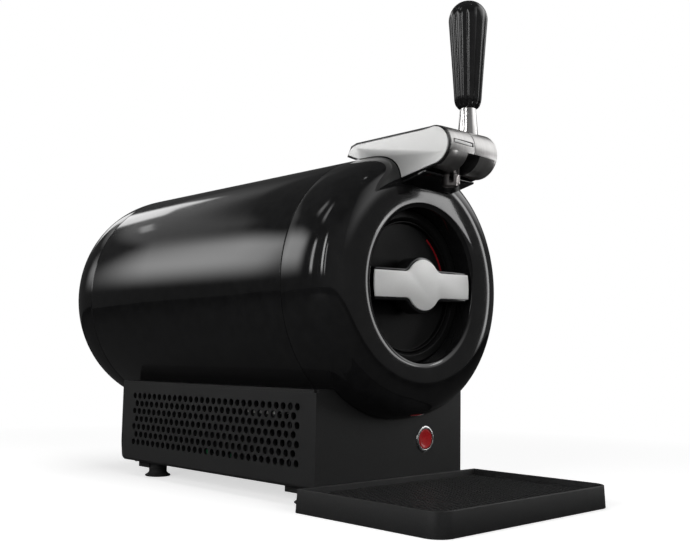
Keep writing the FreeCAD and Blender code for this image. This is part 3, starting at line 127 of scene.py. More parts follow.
def hyper(y, radius, reach, rise, power, steps=28):
    """A quarter of a superellipse, from its outermost radius to its front end."""
    points = []
    for i in range(steps + 1):
        t = math.pi / 2 * i / steps
        points.append((y + reach * math.sin(t) ** (2 / power),
                       radius + rise * max(math.cos(t), 0) ** (2 / power)))
    return points


def draw(mesh, corners, segments=5):
    """A flat face through corners (a, b) or (a, b, bend); a bend rounds its corner."""
    verts = [mesh.verts.new((0, corner[0], corner[1])) for corner in corners]
    mesh.faces.new(verts)
    bends = [corner[2] if len(corner) > 2 else 0 for corner in corners]
    for bend in sorted({b for b in bends if b}):
        picked = [v for v, b in zip(verts, bends) if b == bend]
        bmesh.ops.bevel(mesh, geom=picked, offset=bend, offset_type="OFFSET", segments=segments,
                        profile=0.5, affect="VERTICES", material=-1)


def spin(mesh, corners, steps=144, angle=360, segments=5):
    """Turns a drawn profile about the Y axis of the mesh."""
    draw(mesh, corners, segments)
    full = angle == 360
    if full:
        bmesh.ops.delete(mesh, geom=mesh.faces[:], context="FACES_ONLY")
    else:
        bmesh.ops.rotate(mesh, verts=mesh.verts[:], cent=(0, 0, 0),
                         matrix=Matrix.Rotation(-math.radians(angle) / 2, 3, "Y"))
    start = mesh.verts[:] + mesh.edges[:] + mesh.faces[:]
    bmesh.ops.spin(mesh, geom=start, cent=(0, 0, 0), axis=(0, 1, 0), angle=math.radians(angle),
                   steps=steps, use_merge=full)
    bmesh.ops.remove_doubles(mesh, verts=mesh.verts[:], dist=0.002)
    bmesh.ops.dissolve_degenerate(mesh, edges=mesh.edges[:], dist=0.001)
    bmesh.ops.recalc_face_normals(mesh, faces=mesh.faces[:])


def plate(mesh, corners, x0, x1, edge=0, segments=3, both=True):
    """Pushes a drawn outline out from x0 to x1 and rounds its rim."""
    draw(mesh, corners)
    bmesh.ops.translate(mesh, verts=mesh.verts[:], vec=(x0, 0, 0))
    grown = bmesh.ops.extrude_face_region(mesh, geom=mesh.faces[:], use_keep_orig=True)
    moved = [item for item in grown["geom"] if isinstance(item, bmesh.types.BMVert)]
    bmesh.ops.translate(mesh, verts=moved, vec=(x1 - x0, 0, 0))
    bmesh.ops.recalc_face_normals(mesh, faces=mesh.faces[:])
    if edge:
        ends = (x0, x1) if both else (x1,)
        rim = [e for e in mesh.edges if all(min(abs(v.co.x - x) for x in ends) < 1e-4 for v in e.verts)]
        bevel(mesh, rim, edge, segments)


def bevel(mesh, edges, width, segments=3):
    bmesh.ops.bevel(mesh, geom=edges, offset=width, offset_type="OFFSET", segments=segments,
                    profile=0.5, affect="EDGES", material=-1, clamp_overlap=True)


def block(mesh, x0, x1, y0, y1, z0, z1, edge=0.4, segments=3):
    """A box with soft edges."""
    made = bmesh.ops.create_cube(mesh, size=1)
    size = Matrix.Diagonal((x1 - x0, y1 - y0, z1 - z0))
    bmesh.ops.transform(mesh, verts=made["verts"], matrix=size.to_4x4())
    bmesh.ops.translate(mesh, verts=made["verts"],
                        vec=((x0 + x1) / 2, (y0 + y1) / 2, (z0 + z1) / 2))
    if edge:
        bevel(mesh, list({e for v in made["verts"] for e in v.link_edges}), edge, segments)


TO_X = Matrix.Rotation(-math.pi / 2, 4, "Z")     # a profile about Y now turns about X
TO_Z = Matrix.Rotation(math.pi / 2, 4, "X")      # and here about Z
PLATE_TO_Y = Matrix(((0, 1, 0, 0), (1, 0, 0, 0), (0, 0, 1, 0), (0, 0, 0, 1)))    # x becomes y
PLATE_TO_Z = Matrix(((0, 1, 0, 0), (0, 0, 1, 0), (1, 0, 0, 0), (0, 0, 0, 1)))    # x becomes z


def lay(mesh, turn=None, x=0, y=0, z=0):
    """Turns everything in the mesh, then moves it to its place in the machine."""
    if turn is not None:
        bmesh.ops.transform(mesh, matrix=turn, verts=mesh.verts[:])
        if turn.determinant() < 0:
            bmesh.ops.reverse_faces(mesh, faces=mesh.faces[:])
    bmesh.ops.translate(mesh, verts=mesh.verts[:], vec=(x, y, z))


# %% [markdown]
# ## Turning a mesh into a piece
#
# A piece is a mesh object at the world's origin that rides on one body of the frame. `replaces` names the
# solids it stands for: these are no longer shown, but stay in the simulation. Faces are smooth, and an edge
# sharper than 35 degrees is kept sharp, so that broad curves shine evenly while the corners stay crisp.

# %% Pieces
PIECES = []


def finish_mesh(mesh, name, sharp=35):
    """Writes a bmesh in millimetres from the nose's face into a mesh in metres."""
    bmesh.ops.translate(mesh, verts=mesh.verts[:], vec=(0, FACE_Y, 0))
    bmesh.ops.scale(mesh, vec=(MM, MM, MM), verts=mesh.verts[:])
    data = bpy.data.meshes.new(name)
    mesh.to_mesh(data)
    mesh.free()
    for face in data.polygons:
        face.use_smooth = True
    data.set_sharp_from_angle(angle=math.radians(sharp))
    return data


def piece(name, mesh, body, paint, nodes=(), sharp=35):
    """Makes the object of a finished mesh and hangs it on its body."""
    item = bpy.data.objects.new(name, finish_mesh(mesh, name, sharp))
    bpy.context.scene.collection.objects.link(item)
    item.data.materials.append(paint)
    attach(item, body)
    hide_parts(*nodes)
    PIECES.append(item)
    print(f"{name}: {len(item.data.polygons)} faces on {body}")
    return item


def cutter(name, mesh, paint=None):
    """A hidden mesh that other pieces are cut with."""
    item = bpy.data.objects.new(name, finish_mesh(mesh, name))
    bpy.context.scene.collection.objects.link(item)
    if paint:
        item.data.materials.append(paint)
    item.hide_render = True
    item.hide_viewport = True
    item.display_type = "WIRE"
    return item


def cut(item, tool, flat=False):
    """Takes the tool's volume out of a piece."""
    if flat:
        for face in item.data.polygons:
            face.use_smooth = abs(face.normal.x) < 0.999
    step = item.modifiers.new(f"cut_{tool.name}", "BOOLEAN")
    step.operation = "DIFFERENCE"
    step.solver = "EXACT"
    step.object = tool
    step.material_mode = "TRANSFER"


# %% [markdown]
# ## Writing materials as formulas
#
# A material is easier to read as a formula than as a web of nodes. `Value` wraps one output socket, and
# adding or multiplying values adds the Math node that does it. `Paint` holds one material: `node` adds any
# other node by its type, with its settings and then its inputs. Everything starts from object coordinates,
# in millimetres, so a grain has its real size on every piece.

# %% Formula nodes
class Value:
    """An output socket that can be reckoned with."""

    def __init__(self, paint, socket):
        self.paint, self.socket = paint, socket

    def math(self, operation, *others, clamp=False):
        made = self.paint.tree.nodes.new("ShaderNodeMath")
        made.operation, made.use_clamp = operation, clamp
        for place, item in zip(made.inputs, (self, *others)):
            self.paint.plug(place, item)
        return Value(self.paint, made.outputs[0])

    def __add__(self, other):
        return self.math("ADD", other)

    def __sub__(self, other):
        return self.math("SUBTRACT", other)

    def __mul__(self, other):
        return self.math("MULTIPLY", other)

    def __truediv__(self, other):
        return self.math("DIVIDE", other)

    def __rsub__(self, other):
        return (self * -1) + other

    def __rtruediv__(self, other):
        return self ** -1 * other

    def __pow__(self, other):
        return self.math("POWER", other)

    __radd__, __rmul__ = __add__, __mul__

    def clamped(self):
        return self.math("ADD", 0, clamp=True)

    def band(self, start, end):
        """0 before start, 1 after end and a straight ramp between."""
        return ((self - start) / (end - start)).clamped()

    def hill(self, foot, top, brow, end):
        """Rises smoothly from foot to top, stays 1 until brow and falls again to 0 at end."""
        up, down = self.band(foot, top), 1 - self.band(brow, end)
        return up * up * (3 - up * 2) * down * down * (3 - down * 2)


class Paint:
    """One material with a Principled shader."""

    def __init__(self, name, **constants):
        self.material = bpy.data.materials.new(name)
        self.material.use_nodes = True
        self.tree = self.material.node_tree
        self.shader = next(n for n in self.tree.nodes if n.type == "BSDF_PRINCIPLED")
        self.set(**constants)
        self.here = self.node("ShaderNodeTexCoord", out="Object")

    def plug(self, place, item):
        if isinstance(item, Value):
            self.tree.links.new(item.socket, place)
        else:
            place.default_value = item

    def set(self, **inputs):
        """Inputs of the shader, by their names with _ for a space."""
        for name, item in inputs.items():
            self.plug(self.shader.inputs[name.replace("_", " ")], item)
        return self

    def node(self, kind, settings=None, out=0, **inputs):
        made = self.tree.nodes.new(kind)
        for name, item in (settings or {}).items():
            setattr(made, name, item)
        for name, item in inputs.items():
            self.plug(made.inputs[name.replace("_", " ")], item)
        return Value(self, made.outputs[out])

    def stretch(self, x=1, y=1, z=1):
        """Object coordinates in millimetres, stretched along each axis."""
        made = self.tree.nodes.new("ShaderNodeVectorMath")
        made.operation = "MULTIPLY"
        self.plug(made.inputs[0], self.here)
        made.inputs[1].default_value = (1000 * x, 1000 * y, 1000 * z)
        return Value(self, made.outputs[0])

    def noise(self, size, detail=3, rough=0.55, place=None):
        """Noise around 0.5 whose lumps are about `size` millimetres."""
        return self.node("ShaderNodeTexNoise", out="Fac", Vector=place or self.stretch(),
                         Scale=1 / size, Detail=detail, Roughness=rough)

    def cells(self, size, out="Distance"):
        return self.node("ShaderNodeTexVoronoi", out=out, Vector=self.stretch(),
                         Scale=1 / size)

    def mix(self, share, first, second):
        made = self.tree.nodes.new("ShaderNodeMix")
        made.data_type = "RGBA"
        for index, item in ((0, share), (6, first), (7, second)):
            if index and not isinstance(item, Value):
                item = (*item, 1)
            self.plug(made.inputs[index], item)
        return Value(self, made.outputs[2])

    def axis(self, name):
        """One of the object's coordinates in millimetres."""
        return self.node("ShaderNodeSeparateXYZ", out=name, Vector=self.here) * 1000

    def bump(self, height, depth):
        """Relief of `depth` millimetres for a height that runs from 0 to 1."""
        relief = self.node("ShaderNodeBump", Height=height, Strength=1.0, Distance=depth * MM)
        return self.set(Normal=relief)


# %% [markdown]
# ## Blacks
#
# The barrel, the nose and the grip are polished black plastic. Polished plastic shows its quality in its
# reflections: a very faint waviness from the mould, and a haze of fine wiping marks that only changes the
# roughness. The base and the tray come from etched moulds, so they get a fine pitted relief instead, and
# reflect only softly.

# %% Black plastics
def polished_black(name, shade=0.006, rough=0.07):
    paint = Paint(name, Specular_IOR_Level=0.4, Coat_Weight=0.2, Coat_Roughness=0.03, IOR=1.46)
    wave = paint.noise(38, 1, 0.4)
    haze = paint.noise(9, 4, 0.6)
    marks = paint.noise(2.2, 2, 0.5, paint.stretch(1, 0.12, 1))
    paint.set(Base_Color=paint.mix(haze.band(0.3, 0.8), (shade, shade, shade * 1.04),
                                   (shade * 1.7, shade * 1.7, shade * 1.75)))
    paint.set(Roughness=haze.band(0.35, 0.75) * 0.035 + marks.band(0.55, 0.8) * 0.02 + rough)
    return paint.bump(wave, 0.012).material


def etched_black(name, shade, rough, grain, depth, level=0.5):
    paint = Paint(name, Specular_IOR_Level=level)
    pits = paint.cells(grain)
    lumps = paint.noise(grain * 1.6, 2, 0.5)
    wear = paint.noise(24, 3, 0.6)
    paint.set(Base_Color=paint.mix(lumps.band(0.35, 0.7), (shade * 0.85,) * 3,
                                   (shade * 1.25, shade * 1.25, shade * 1.28)))
    paint.set(Roughness=wear.band(0.3, 0.75) * 0.08 + pits * 0.06 + rough)
    return paint.bump(pits * 0.6 + lumps * 0.4, depth).material


GLOSS_BLACK = polished_black("gloss_black")
GRIP_BLACK = polished_black("grip_black", 0.007, 0.1)
SATIN_BLACK = etched_black("satin_black", 0.011, 0.36, 0.55, 0.02)
TRAY_BLACK = etched_black("tray_black", 0.014, 0.44, 0.6, 0.025, 0.35)
MATTE_BLACK = etched_black("matte_black", 0.010, 0.42, 0.45, 0.015, 0.4)
DIAL_BLACK = etched_black("dial_black", 0.005, 0.34, 0.5, 0.01, 0.08)
RUBBER = etched_black("rubber", 0.016, 0.7, 0.8, 0.03, 0.3)
print("blacks made")

# %% [markdown]
# ## Greys and metals
#
# The cheeks and the bar plate carry a satin silver paint: tiny flakes that differ a little in brightness,
# under a thin clear coat. The drum is turned metal, so its brush lines run around its own axis; along the
# X axis that is a noise squeezed in X and stretched in the other two. The neck is plated and nearly a
# mirror.

# %% Metals and paints
def silver_paint(name, light, dark, rough=0.34):
    paint = Paint(name, Metallic=0.25, Coat_Weight=0.2, Coat_Roughness=0.2)
    flakes = paint.node("ShaderNodeSeparateColor", out=0, Color=paint.cells(0.18, "Color"))
    cloud = paint.noise(16, 3, 0.5)
    shade = paint.mix((flakes * 0.7 + cloud * 0.3).band(0.1, 0.9), dark, light)
    paint.set(Base_Color=shade, Roughness=flakes * 0.1 + cloud.band(0.3, 0.8) * 0.05 + rough)
    return paint.bump(flakes, 0.003).material


def brushed_metal(name, light, dark, rough, lines, depth=0.004):
    """`lines` squeezes the object coordinates, so that the brush marks run along the small numbers."""
    paint = Paint(name, Metallic=1.0)
    fine = paint.noise(0.9, 3, 0.65, paint.stretch(*lines))
    broad = paint.noise(5, 2, 0.5, paint.stretch(*lines))
    stain = paint.noise(20, 3, 0.5)
    paint.set(Base_Color=paint.mix((fine * 0.6 + broad * 0.4).band(0.3, 0.7), dark, light))
    paint.set(Roughness=fine.band(0.3, 0.7) * 0.1 + stain.band(0.3, 0.8) * 0.06 + rough)
    return paint.bump(fine, depth).material


SILVER_PAINT = silver_paint("light_grey", (0.86, 0.86, 0.85), (0.74, 0.74, 0.73))
DRUM_METAL = brushed_metal("brushed", (0.62, 0.61, 0.60), (0.46, 0.455, 0.45), 0.3, (3.0, 0.06, 0.06))
TAB_METAL = silver_paint("tab_metal", (0.90, 0.90, 0.89), (0.78, 0.78, 0.77), 0.3)
NECK_CHROME = brushed_metal("polished", (0.80, 0.79, 0.78), (0.70, 0.69, 0.685), 0.08, (0.2, 0.2, 1.5), 0.001)
RING_CHROME = brushed_metal("silver", (0.78, 0.78, 0.78), (0.66, 0.66, 0.66), 0.16, (0.3, 1.2, 0.3), 0.002)
SPOUT_METAL = brushed_metal("spout_metal", (0.56, 0.53, 0.52), (0.44, 0.415, 0.41), 0.34, (1.4, 1.4, 0.1))
STEEL = brushed_metal("steel", (0.55, 0.55, 0.55), (0.42, 0.42, 0.42), 0.3, (1, 1, 1))
ALUMINIUM = brushed_metal("aluminium", (0.74, 0.75, 0.76), (0.62, 0.63, 0.64), 0.34, (0.4, 0.05, 0.4))
ANODISED = brushed_metal("black_anodised", (0.03, 0.03, 0.032), (0.018, 0.018, 0.019), 0.42, (0.4, 0.05, 0.4))
print("metals made")

# %% [markdown]
# ## The rest
#
# The red of the lock mark is a dark lacquer filled into the dial; the red of the button is moulded and a
# little translucent-looking, with a soft sheen. The inner parts get plain workshop finishes: foam with
# open pores, white ceramic, and a green board.

# %% Reds, foam, ceramic and board
def moulded(name, light, dark, rough, grain, depth, coat=0.0):
    paint = Paint(name, Coat_Weight=coat, Coat_Roughness=0.08)
    cloud = paint.noise(grain * 6, 3, 0.5)
    speck = paint.noise(grain, 2, 0.6)
    paint.set(Base_Color=paint.mix(cloud.band(0.3, 0.7), dark, light))
    paint.set(Roughness=speck.band(0.3, 0.8) * 0.08 + rough)
    return paint.bump(speck, depth).material


MARK_RED = moulded("deep_red", (0.24, 0.004, 0.008), (0.15, 0.002, 0.004), 0.3, 0.6, 0.004, 0.2)
BUTTON_RED = moulded("button_red", (0.62, 0.02, 0.022), (0.48, 0.012, 0.016), 0.26, 0.7, 0.006, 0.3)
FOAM = moulded("foam", (0.74, 0.72, 0.66), (0.6, 0.58, 0.52), 0.85, 1.2, 0.3)
CERAMIC = moulded("ceramic", (0.86, 0.86, 0.84), (0.78, 0.78, 0.76), 0.4, 0.8, 0.01)
BOARD = moulded("board", (0.02, 0.19, 0.07), (0.012, 0.12, 0.045), 0.4, 1.5, 0.02)

FINISH = {
    "gloss_black": GLOSS_BLACK, "satin_black": SATIN_BLACK, "matte_black": MATTE_BLACK,
    "light_grey": SILVER_PAINT, "brushed": DRUM_METAL, "polished": NECK_CHROME,
    "silver": RING_CHROME, "steel": STEEL, "aluminium": ALUMINIUM, "foam": FOAM,
    "ceramic": CERAMIC, "rubber": RUBBER, "deep_red": MARK_RED, "button_red": BUTTON_RED,
    "board": BOARD}
for row in frame["record"]["subparts"]:
    solid = NODES[row["node"]]
    solid.data.materials.clear()
    solid.data.materials.append(FINISH[row["material_slot"]])
NODES["heat_sink"].data.materials[0] = ANODISED
print("finishes on the solids:", len(FINISH))

# %% [markdown]
# ## Barrel, nose and rear cap
#
# These three are turned parts, so one profile each is enough. The nose is the one that gives the machine
# its face: it comes straight off the barrel, swells forward in a fat superellipse and rolls inward to the
# bore. Where two parts meet, both lose a fine edge; the light catches that groove, and it is what makes
# the barrel read as assembled instead of carved.

# %% Turned body parts
DOME_FLAT, DOME_POWER = 30, 2.5
NOSE_STRAIGHT, NOSE_REACH, NOSE_CREST, NOSE_POWER = 9.3, 42, 75, 3.0
BORE_R, COLLAR_R, WALL = 60.6, 63.0, 2.5
NOSE_Y = SEAM_Y - NOSE_STRAIGHT
SWELL = BARREL_R - NOSE_CREST


def nose_curve(grow=0.0, until=BORE_R, steps=30):
    """The outside of the nose from its widest place over the crest, down to a radius."""
    outer = hyper(NOSE_Y, NOSE_CREST, -NOSE_REACH - grow, SWELL + grow, NOSE_POWER, steps)
    inner = hyper(NOSE_Y, NOSE_CREST, -NOSE_REACH - grow, -SWELL - grow, NOSE_POWER, steps)
    return outer + [p for p in reversed(inner[:-1]) if p[1] > until]


mesh = bmesh.new()
spin(mesh, [(SEAM_Y + 0.15, BARREL_R - WALL), (SEAM_Y + 0.15, BARREL_R, 0.7),
            (SEAM_Y + 60, BARREL_R), (REAR_Y - 90, BARREL_R),
            (REAR_Y - 0.15, BARREL_R, 0.7), (REAR_Y - 0.15, BARREL_R - WALL)], steps=192)
lay(mesh, z=AXIS_Z)
piece("barrel", mesh, "machine", GLOSS_BLACK, ["barrel_shell"])

mesh = bmesh.new()
lip_y = NOSE_Y - NOSE_REACH * (1 - ((NOSE_CREST - BORE_R) / SWELL) ** NOSE_POWER) ** (1 / NOSE_POWER)
profile = [(SEAM_Y - 0.15, BARREL_R - WALL), (SEAM_Y - 0.15, BARREL_R, 0.7)]
profile += nose_curve(until=BORE_R + 1.2)
profile += [(lip_y + 0.1, BORE_R + 0.75), (lip_y + 0.45, BORE_R + 0.3), (lip_y + 1.1, BORE_R + 0.05),
            (lip_y + 2.0, BORE_R), (30, BORE_R, 0.2), (30, COLLAR_R, 0.2), (6, COLLAR_R + 2)]
profile += [(NOSE_Y - (NOSE_REACH - WALL) * 0.97, NOSE_CREST)]
profile += [(y, r) for y, r in reversed(hyper(NOSE_Y, NOSE_CREST, WALL - NOSE_REACH,
                                              SWELL - WALL, NOSE_POWER, 10)[:-1])]
spin(mesh, profile, steps=192)
lay(mesh, z=AXIS_Z)
nose = piece("nose", mesh, "machine", GLOSS_BLACK, ["nose_ring", "bore_liner"])

mesh = bmesh.new()
port = (low("tube_port") + high("tube_port")) / 2
port_r = (high("tube_port").x - low("tube_port").x) / 2
bmesh.ops.create_cone(mesh, cap_ends=True, segments=48, radius1=port_r, radius2=port_r, depth=40)
lay(mesh, y=port.y - FACE_Y, z=AXIS_Z + BARREL_R)
cut(nose, cutter("port_drill", mesh, GLOSS_BLACK))

mesh = bmesh.new()
dome = hyper(REAR_Y + 0.8, DOME_FLAT, CAP_Y - REAR_Y - 0.8, BARREL_R - DOME_FLAT, DOME_POWER, 40)
hollow = hyper(REAR_Y + 0.8, DOME_FLAT, CAP_Y - REAR_Y - 0.8 - WALL, BARREL_R - DOME_FLAT - WALL,
               DOME_POWER, 16)
profile = [(REAR_Y + 0.15, BARREL_R - WALL), (REAR_Y + 0.15, BARREL_R - 0.55)] + dome
profile += [(CAP_Y, 0), (CAP_Y - WALL, 0)] + list(reversed(hollow))
spin(mesh, profile, steps=192)
lay(mesh, z=AXIS_Z)
piece("rear_dome", mesh, "machine", GLOSS_BLACK, ["rear_cap"])

# %% [markdown]
# ## Round door
#
# The door sits deep in the bore: a sloping rim, a cup-shaped dial, a lock mark filled in with red and a bar
# across the front to turn it by. The dial is a separate piece from the rim, since it turns while the rim
# only slides; the groove between them is real. The bar has a round hub, and its plate ends follow the
# circle of the bore, which is why they're a little convex.

# %% Door
SHAFT_R, SLEEVE_WALL = 8, 2
WEB_FRONT, WEB_BACK = 24.2, 25.6
MARK_IN, MARK_OUT = 47.6, 49.4
mesh = bmesh.new()
rim_r = high("door_rim").x
dial_r = high("door_dial").x
rim_y = low("door_rim").y - FACE_Y
dial_y = low("door_dial").y - FACE_Y
dial_floor = 21.5
sleeve = dial_r + 0.4
spin(mesh, [(rim_y, rim_r, 0.5), (rim_y + 5.2, rim_r, 0.3), (rim_y + 5.2, sleeve + SLEEVE_WALL),
            (WEB_BACK, sleeve + SLEEVE_WALL, 0.3), (WEB_BACK, SHAFT_R + 0.3), (WEB_FRONT, SHAFT_R + 0.3),
            (WEB_FRONT, sleeve), (dial_y, sleeve, 0.5), (rim_y, sleeve + SLEEVE_WALL, 0.6)], steps=160)
lay(mesh, z=AXIS_Z)
piece("rim", mesh, "door", DIAL_BLACK, ["door_rim"])

mesh = bmesh.new()
spin(mesh, [(dial_y, dial_r, 0.35), (23.5, dial_r, 0.3), (23.5, SHAFT_R), (30.2, SHAFT_R), (30.2, 0),
            (dial_floor, 0),
            (dial_floor, dial_r - 1.5, 0.8), (dial_y, dial_r - 1.5, 0.5)], steps=160)
lay(mesh, z=AXIS_Z)
piece("dial", mesh, "door_lock", DIAL_BLACK, ["door_dial"])

mesh = bmesh.new()
spin(mesh, [(dial_floor - 0.12, MARK_IN, 0.08), (dial_floor + 0.8, MARK_IN), (dial_floor + 0.8, MARK_OUT),
            (dial_floor - 0.12, MARK_OUT, 0.08)], steps=24, angle=40, segments=2)
lay(mesh, Matrix.Rotation(math.radians(54), 4, "Y"), z=AXIS_Z)
piece("lock_mark", mesh, "door_lock", MARK_RED, ["lock_indicator"])


def bar_outline(half, height, hub, blend, round_end):
    """Half-length, half-height, hub radius and the fillet between them, going round once."""
    away = math.sqrt((hub + blend) ** 2 - (height + blend) ** 2)
    meet = math.degrees(math.atan2(height + blend, away))
    end = math.sqrt(max(half ** 2 - height ** 2, 0))
    tip = [(end, height)] if round_end else [(half, height)]
    right = [(away, height)] + arc(away, height + blend, blend, 270, 180 + meet, 8)[1:]
    top = tip + right + arc(0, 0, hub, meet, 180 - meet, 24)[1:-1]
    top += [(-x, z) for x, z in reversed(right)] + [(-x, z) for x, z in reversed(tip)]
    close = []
    if round_end:
        turn = math.degrees(math.asin(height / half))
        close = arc(0, 0, half, 180 - turn, 180 + turn, 6)[1:-1]
    far = [(-x, -z) for x, z in close]
    return top + close + [(x, -z) for x, z in reversed(top)] + far


TILT = Matrix.Rotation(-BAR_TILT, 4, "Y")
mesh = bmesh.new()
plate(mesh, bar_outline(56, 10, 19.8, 9, True), 1.5, 0, edge=0.45, segments=3, both=False)
lay(mesh, TILT @ PLATE_TO_Y, z=AXIS_Z)
piece("bar_face", mesh, "door_lock", SILVER_PAINT, ["door_bar_plate"])

mesh = bmesh.new()
plate(mesh, bar_outline(55.2, 12.4, 22.2, 6.6, True), 14.5, 1.4, edge=1.6, segments=5, both=False)
block(mesh, 14.4, dial_floor + 0.3, -46.5, 46.5, -12.4, 12.4, edge=0.5)
lay(mesh, TILT @ PLATE_TO_Y, z=AXIS_Z)
piece("bar_grip", mesh, "door_lock", GRIP_BLACK, ["door_grip"])

# %% [markdown]
# ## Base
#
# The base is a hollow box that carries the barrel in a round seat. Its sides breathe through seven rows of
# staggered holes. Staggered rows at 60 degrees leave the most metal between holes for the same air, so the
# rows stand 8 mm times the sine of 60 degrees apart. All the holes of a side are drilled at once: one
# hidden mesh holds all the drills, and one boolean cuts them from the panel. The panel's foot is rounded,
# as a moulded skirt would be.

# %% Side panels
base_low = low("base_chassis")
panel_low, panel_high = low("right_vent_panel"), high("right_vent_panel")
VENT_PITCH, VENT_R = 8.0, 2.8
VENT_RISE, VENT_START = 17.4, 20.5
VENT_ROWS, VENT_COLUMNS = 7, 29


def drills(x0, x1):
    mesh = bmesh.new()
    middle, length = (x0 + x1) / 2, abs(x1 - x0) + 4
    for row in range(VENT_ROWS):
        height = panel_low.z + VENT_RISE + row * VENT_PITCH * math.sin(math.radians(60))
        for column in range(VENT_COLUMNS - row % 2):
            depth = panel_low.y - FACE_Y + VENT_START + (row % 2) * VENT_PITCH / 2 + column * VENT_PITCH
            turn = Matrix.Translation((middle, depth, height)) @ Matrix.Rotation(math.pi / 2, 4, "Y")
            bmesh.ops.create_cone(mesh, cap_ends=True, segments=24, radius1=VENT_R, radius2=VENT_R,
                                  depth=length, matrix=turn)
    return mesh


for side, name in ((-1, "left"), (1, "right")):
    outer, inner = panel_high.x * side, panel_low.x * side
    front, rear = panel_low.y - FACE_Y, panel_high.y - FACE_Y
    mesh = bmesh.new()
    draw(mesh, [(front, panel_low.z), (rear, panel_low.z, 6), (rear, panel_high.z), (front, panel_high.z)])
    bmesh.ops.translate(mesh, verts=mesh.verts[:], vec=(inner, 0, 0))
    grown = bmesh.ops.extrude_face_region(mesh, geom=mesh.faces[:], use_keep_orig=True)
    moved = [item for item in grown["geom"] if isinstance(item, bmesh.types.BMVert)]
    bmesh.ops.translate(mesh, verts=moved, vec=(outer - inner, 0, 0))
    bmesh.ops.recalc_face_normals(mesh, faces=mesh.faces[:])
    rim = [e for e in mesh.edges if all(abs(v.co.x - outer) < 1e-4 for v in e.verts)]
    foot = [e for e in rim if all(v.co.z < panel_low.z + 6.1 for v in e.verts)]
    bevel(mesh, foot, 2.3, 6)
    rim = [e for e in mesh.edges if all(abs(v.co.x - outer) < 1e-4 and v.co.z > panel_low.z + 6
                                        for v in e.verts) and len(e.link_faces) == 2
           and e.calc_face_angle() > 0.5]
    bevel(mesh, rim, 0.4, 2)
    panel = piece(f"{name}_vents", mesh, "machine", SATIN_BLACK, [f"{name}_vent_panel"])
    cut(panel, cutter(f"{name}_drills", drills(inner, outer), SATIN_BLACK), flat=True)

# %% [markdown]
# ## Button and feet
#
# The power button is a low red dome in a bright ring; the ring's front is rolled, so it shows one light
# and one dark half whatever the light does. The feet are soft and flare where they meet the counter, like
# a suction pad.

# %% Button
spot = (low("power_button") + high("power_button")) / 2
button_y = low("power_button").y - FACE_Y
button_r = 7.8
mesh = bmesh.new()
dish = [(button_y + 0.15 + 0.35 * (1 - (r / 6.4) ** 2), r) for r in (6.4, 5.2, 4.0, 2.6, 1.3)]
spin(mesh, [(button_y + 10.5, 0), (button_y + 10.5, 2.5), (button_y + 4, 2.5), (button_y + 4, 9.2),
            (button_y + 3, 9.2), (button_y + 3, button_r), (button_y, button_r, 0.6), (button_y, 6.9)]
     + dish + [(button_y + 0.5, 0)], steps=96)
lay(mesh, x=spot.x, z=spot.z)
piece("button", mesh, "button", BUTTON_RED, ["power_button"])

mesh = bmesh.new()
ring_y = low("button_bezel").y - FACE_Y
panel_y = low("front_panel").y - FACE_Y
spin(mesh, [(ring_y, 8.25, 0.35), (panel_y + 2.4, 8.25), (panel_y + 2.4, 9.3), (panel_y + 0.02, 9.3),
            (panel_y + 0.02, 10.8, 0.3), (ring_y + 0.1, 10.3, 0.8)], steps=96)
lay(mesh, x=spot.x, z=spot.z)
piece("button_ring", mesh, "machine", RING_CHROME, ["button_bezel"])

# %% Feet
for name in ("front_left_foot", "front_right_foot", "rear_left_foot", "rear_right_foot"):
    a, b = low(name), high(name)
    radius, tall = (b.x - a.x) / 2, b.z - a.z
    mesh = bmesh.new()
    profile = [(0, 0), (0, radius - 0.8), (0.35, radius - 0.2), (0.9, radius)]
    profile += [(1.5, radius - 0.5), (2.3, radius - 1.9), (3.2, radius - 3.0), (4.2, radius - 3.5)]
    spin(mesh, profile + [(tall, radius - 3.5), (tall, 0)], steps=64)
    lay(mesh, TO_Z, x=(a.x + b.x) / 2, y=(a.y + b.y) / 2 - FACE_Y, z=0)
    piece(f"{name}_pad", mesh, "machine", RUBBER, [name])

# %% [markdown]
# ## Drip tray
#
# The tray's walls lean in by less than a millimetre, just enough to leave its mould. It is drawn as an
# outline with two rounded front corners, pulled up, inset for the rim, pushed down to the ledge that holds
# the grid, inset again and pushed down to the floor. Only then are all its edges softened at once. The
# grid keeps the solid's own mesh, since that already has every hole in its place.

# %% Tray
a, b = low("drip_tray"), high("drip_tray")
half, front, rear = b.x, a.y - FACE_Y, 29.7
grid_low = low("drip_grid")
TRAY_FLOOR, RIM_WIDTH, LEDGE_WIDTH = 2.0, 2.2, 4.0


def pushed(mesh, faces, distance):
    """Extrudes faces along Z and returns the new ones."""
    grown = bmesh.ops.extrude_face_region(mesh, geom=faces)
    verts = [item for item in grown["geom"] if isinstance(item, bmesh.types.BMVert)]
    bmesh.ops.translate(mesh, verts=verts, vec=(0, 0, distance))
    bmesh.ops.delete(mesh, geom=faces, context="FACES_ONLY")
    return [item for item in grown["geom"] if isinstance(item, bmesh.types.BMFace)]


mesh = bmesh.new()
draw(mesh, [(-half, front, 13), (half, front, 13), (half, rear), (-half, rear)], 12)
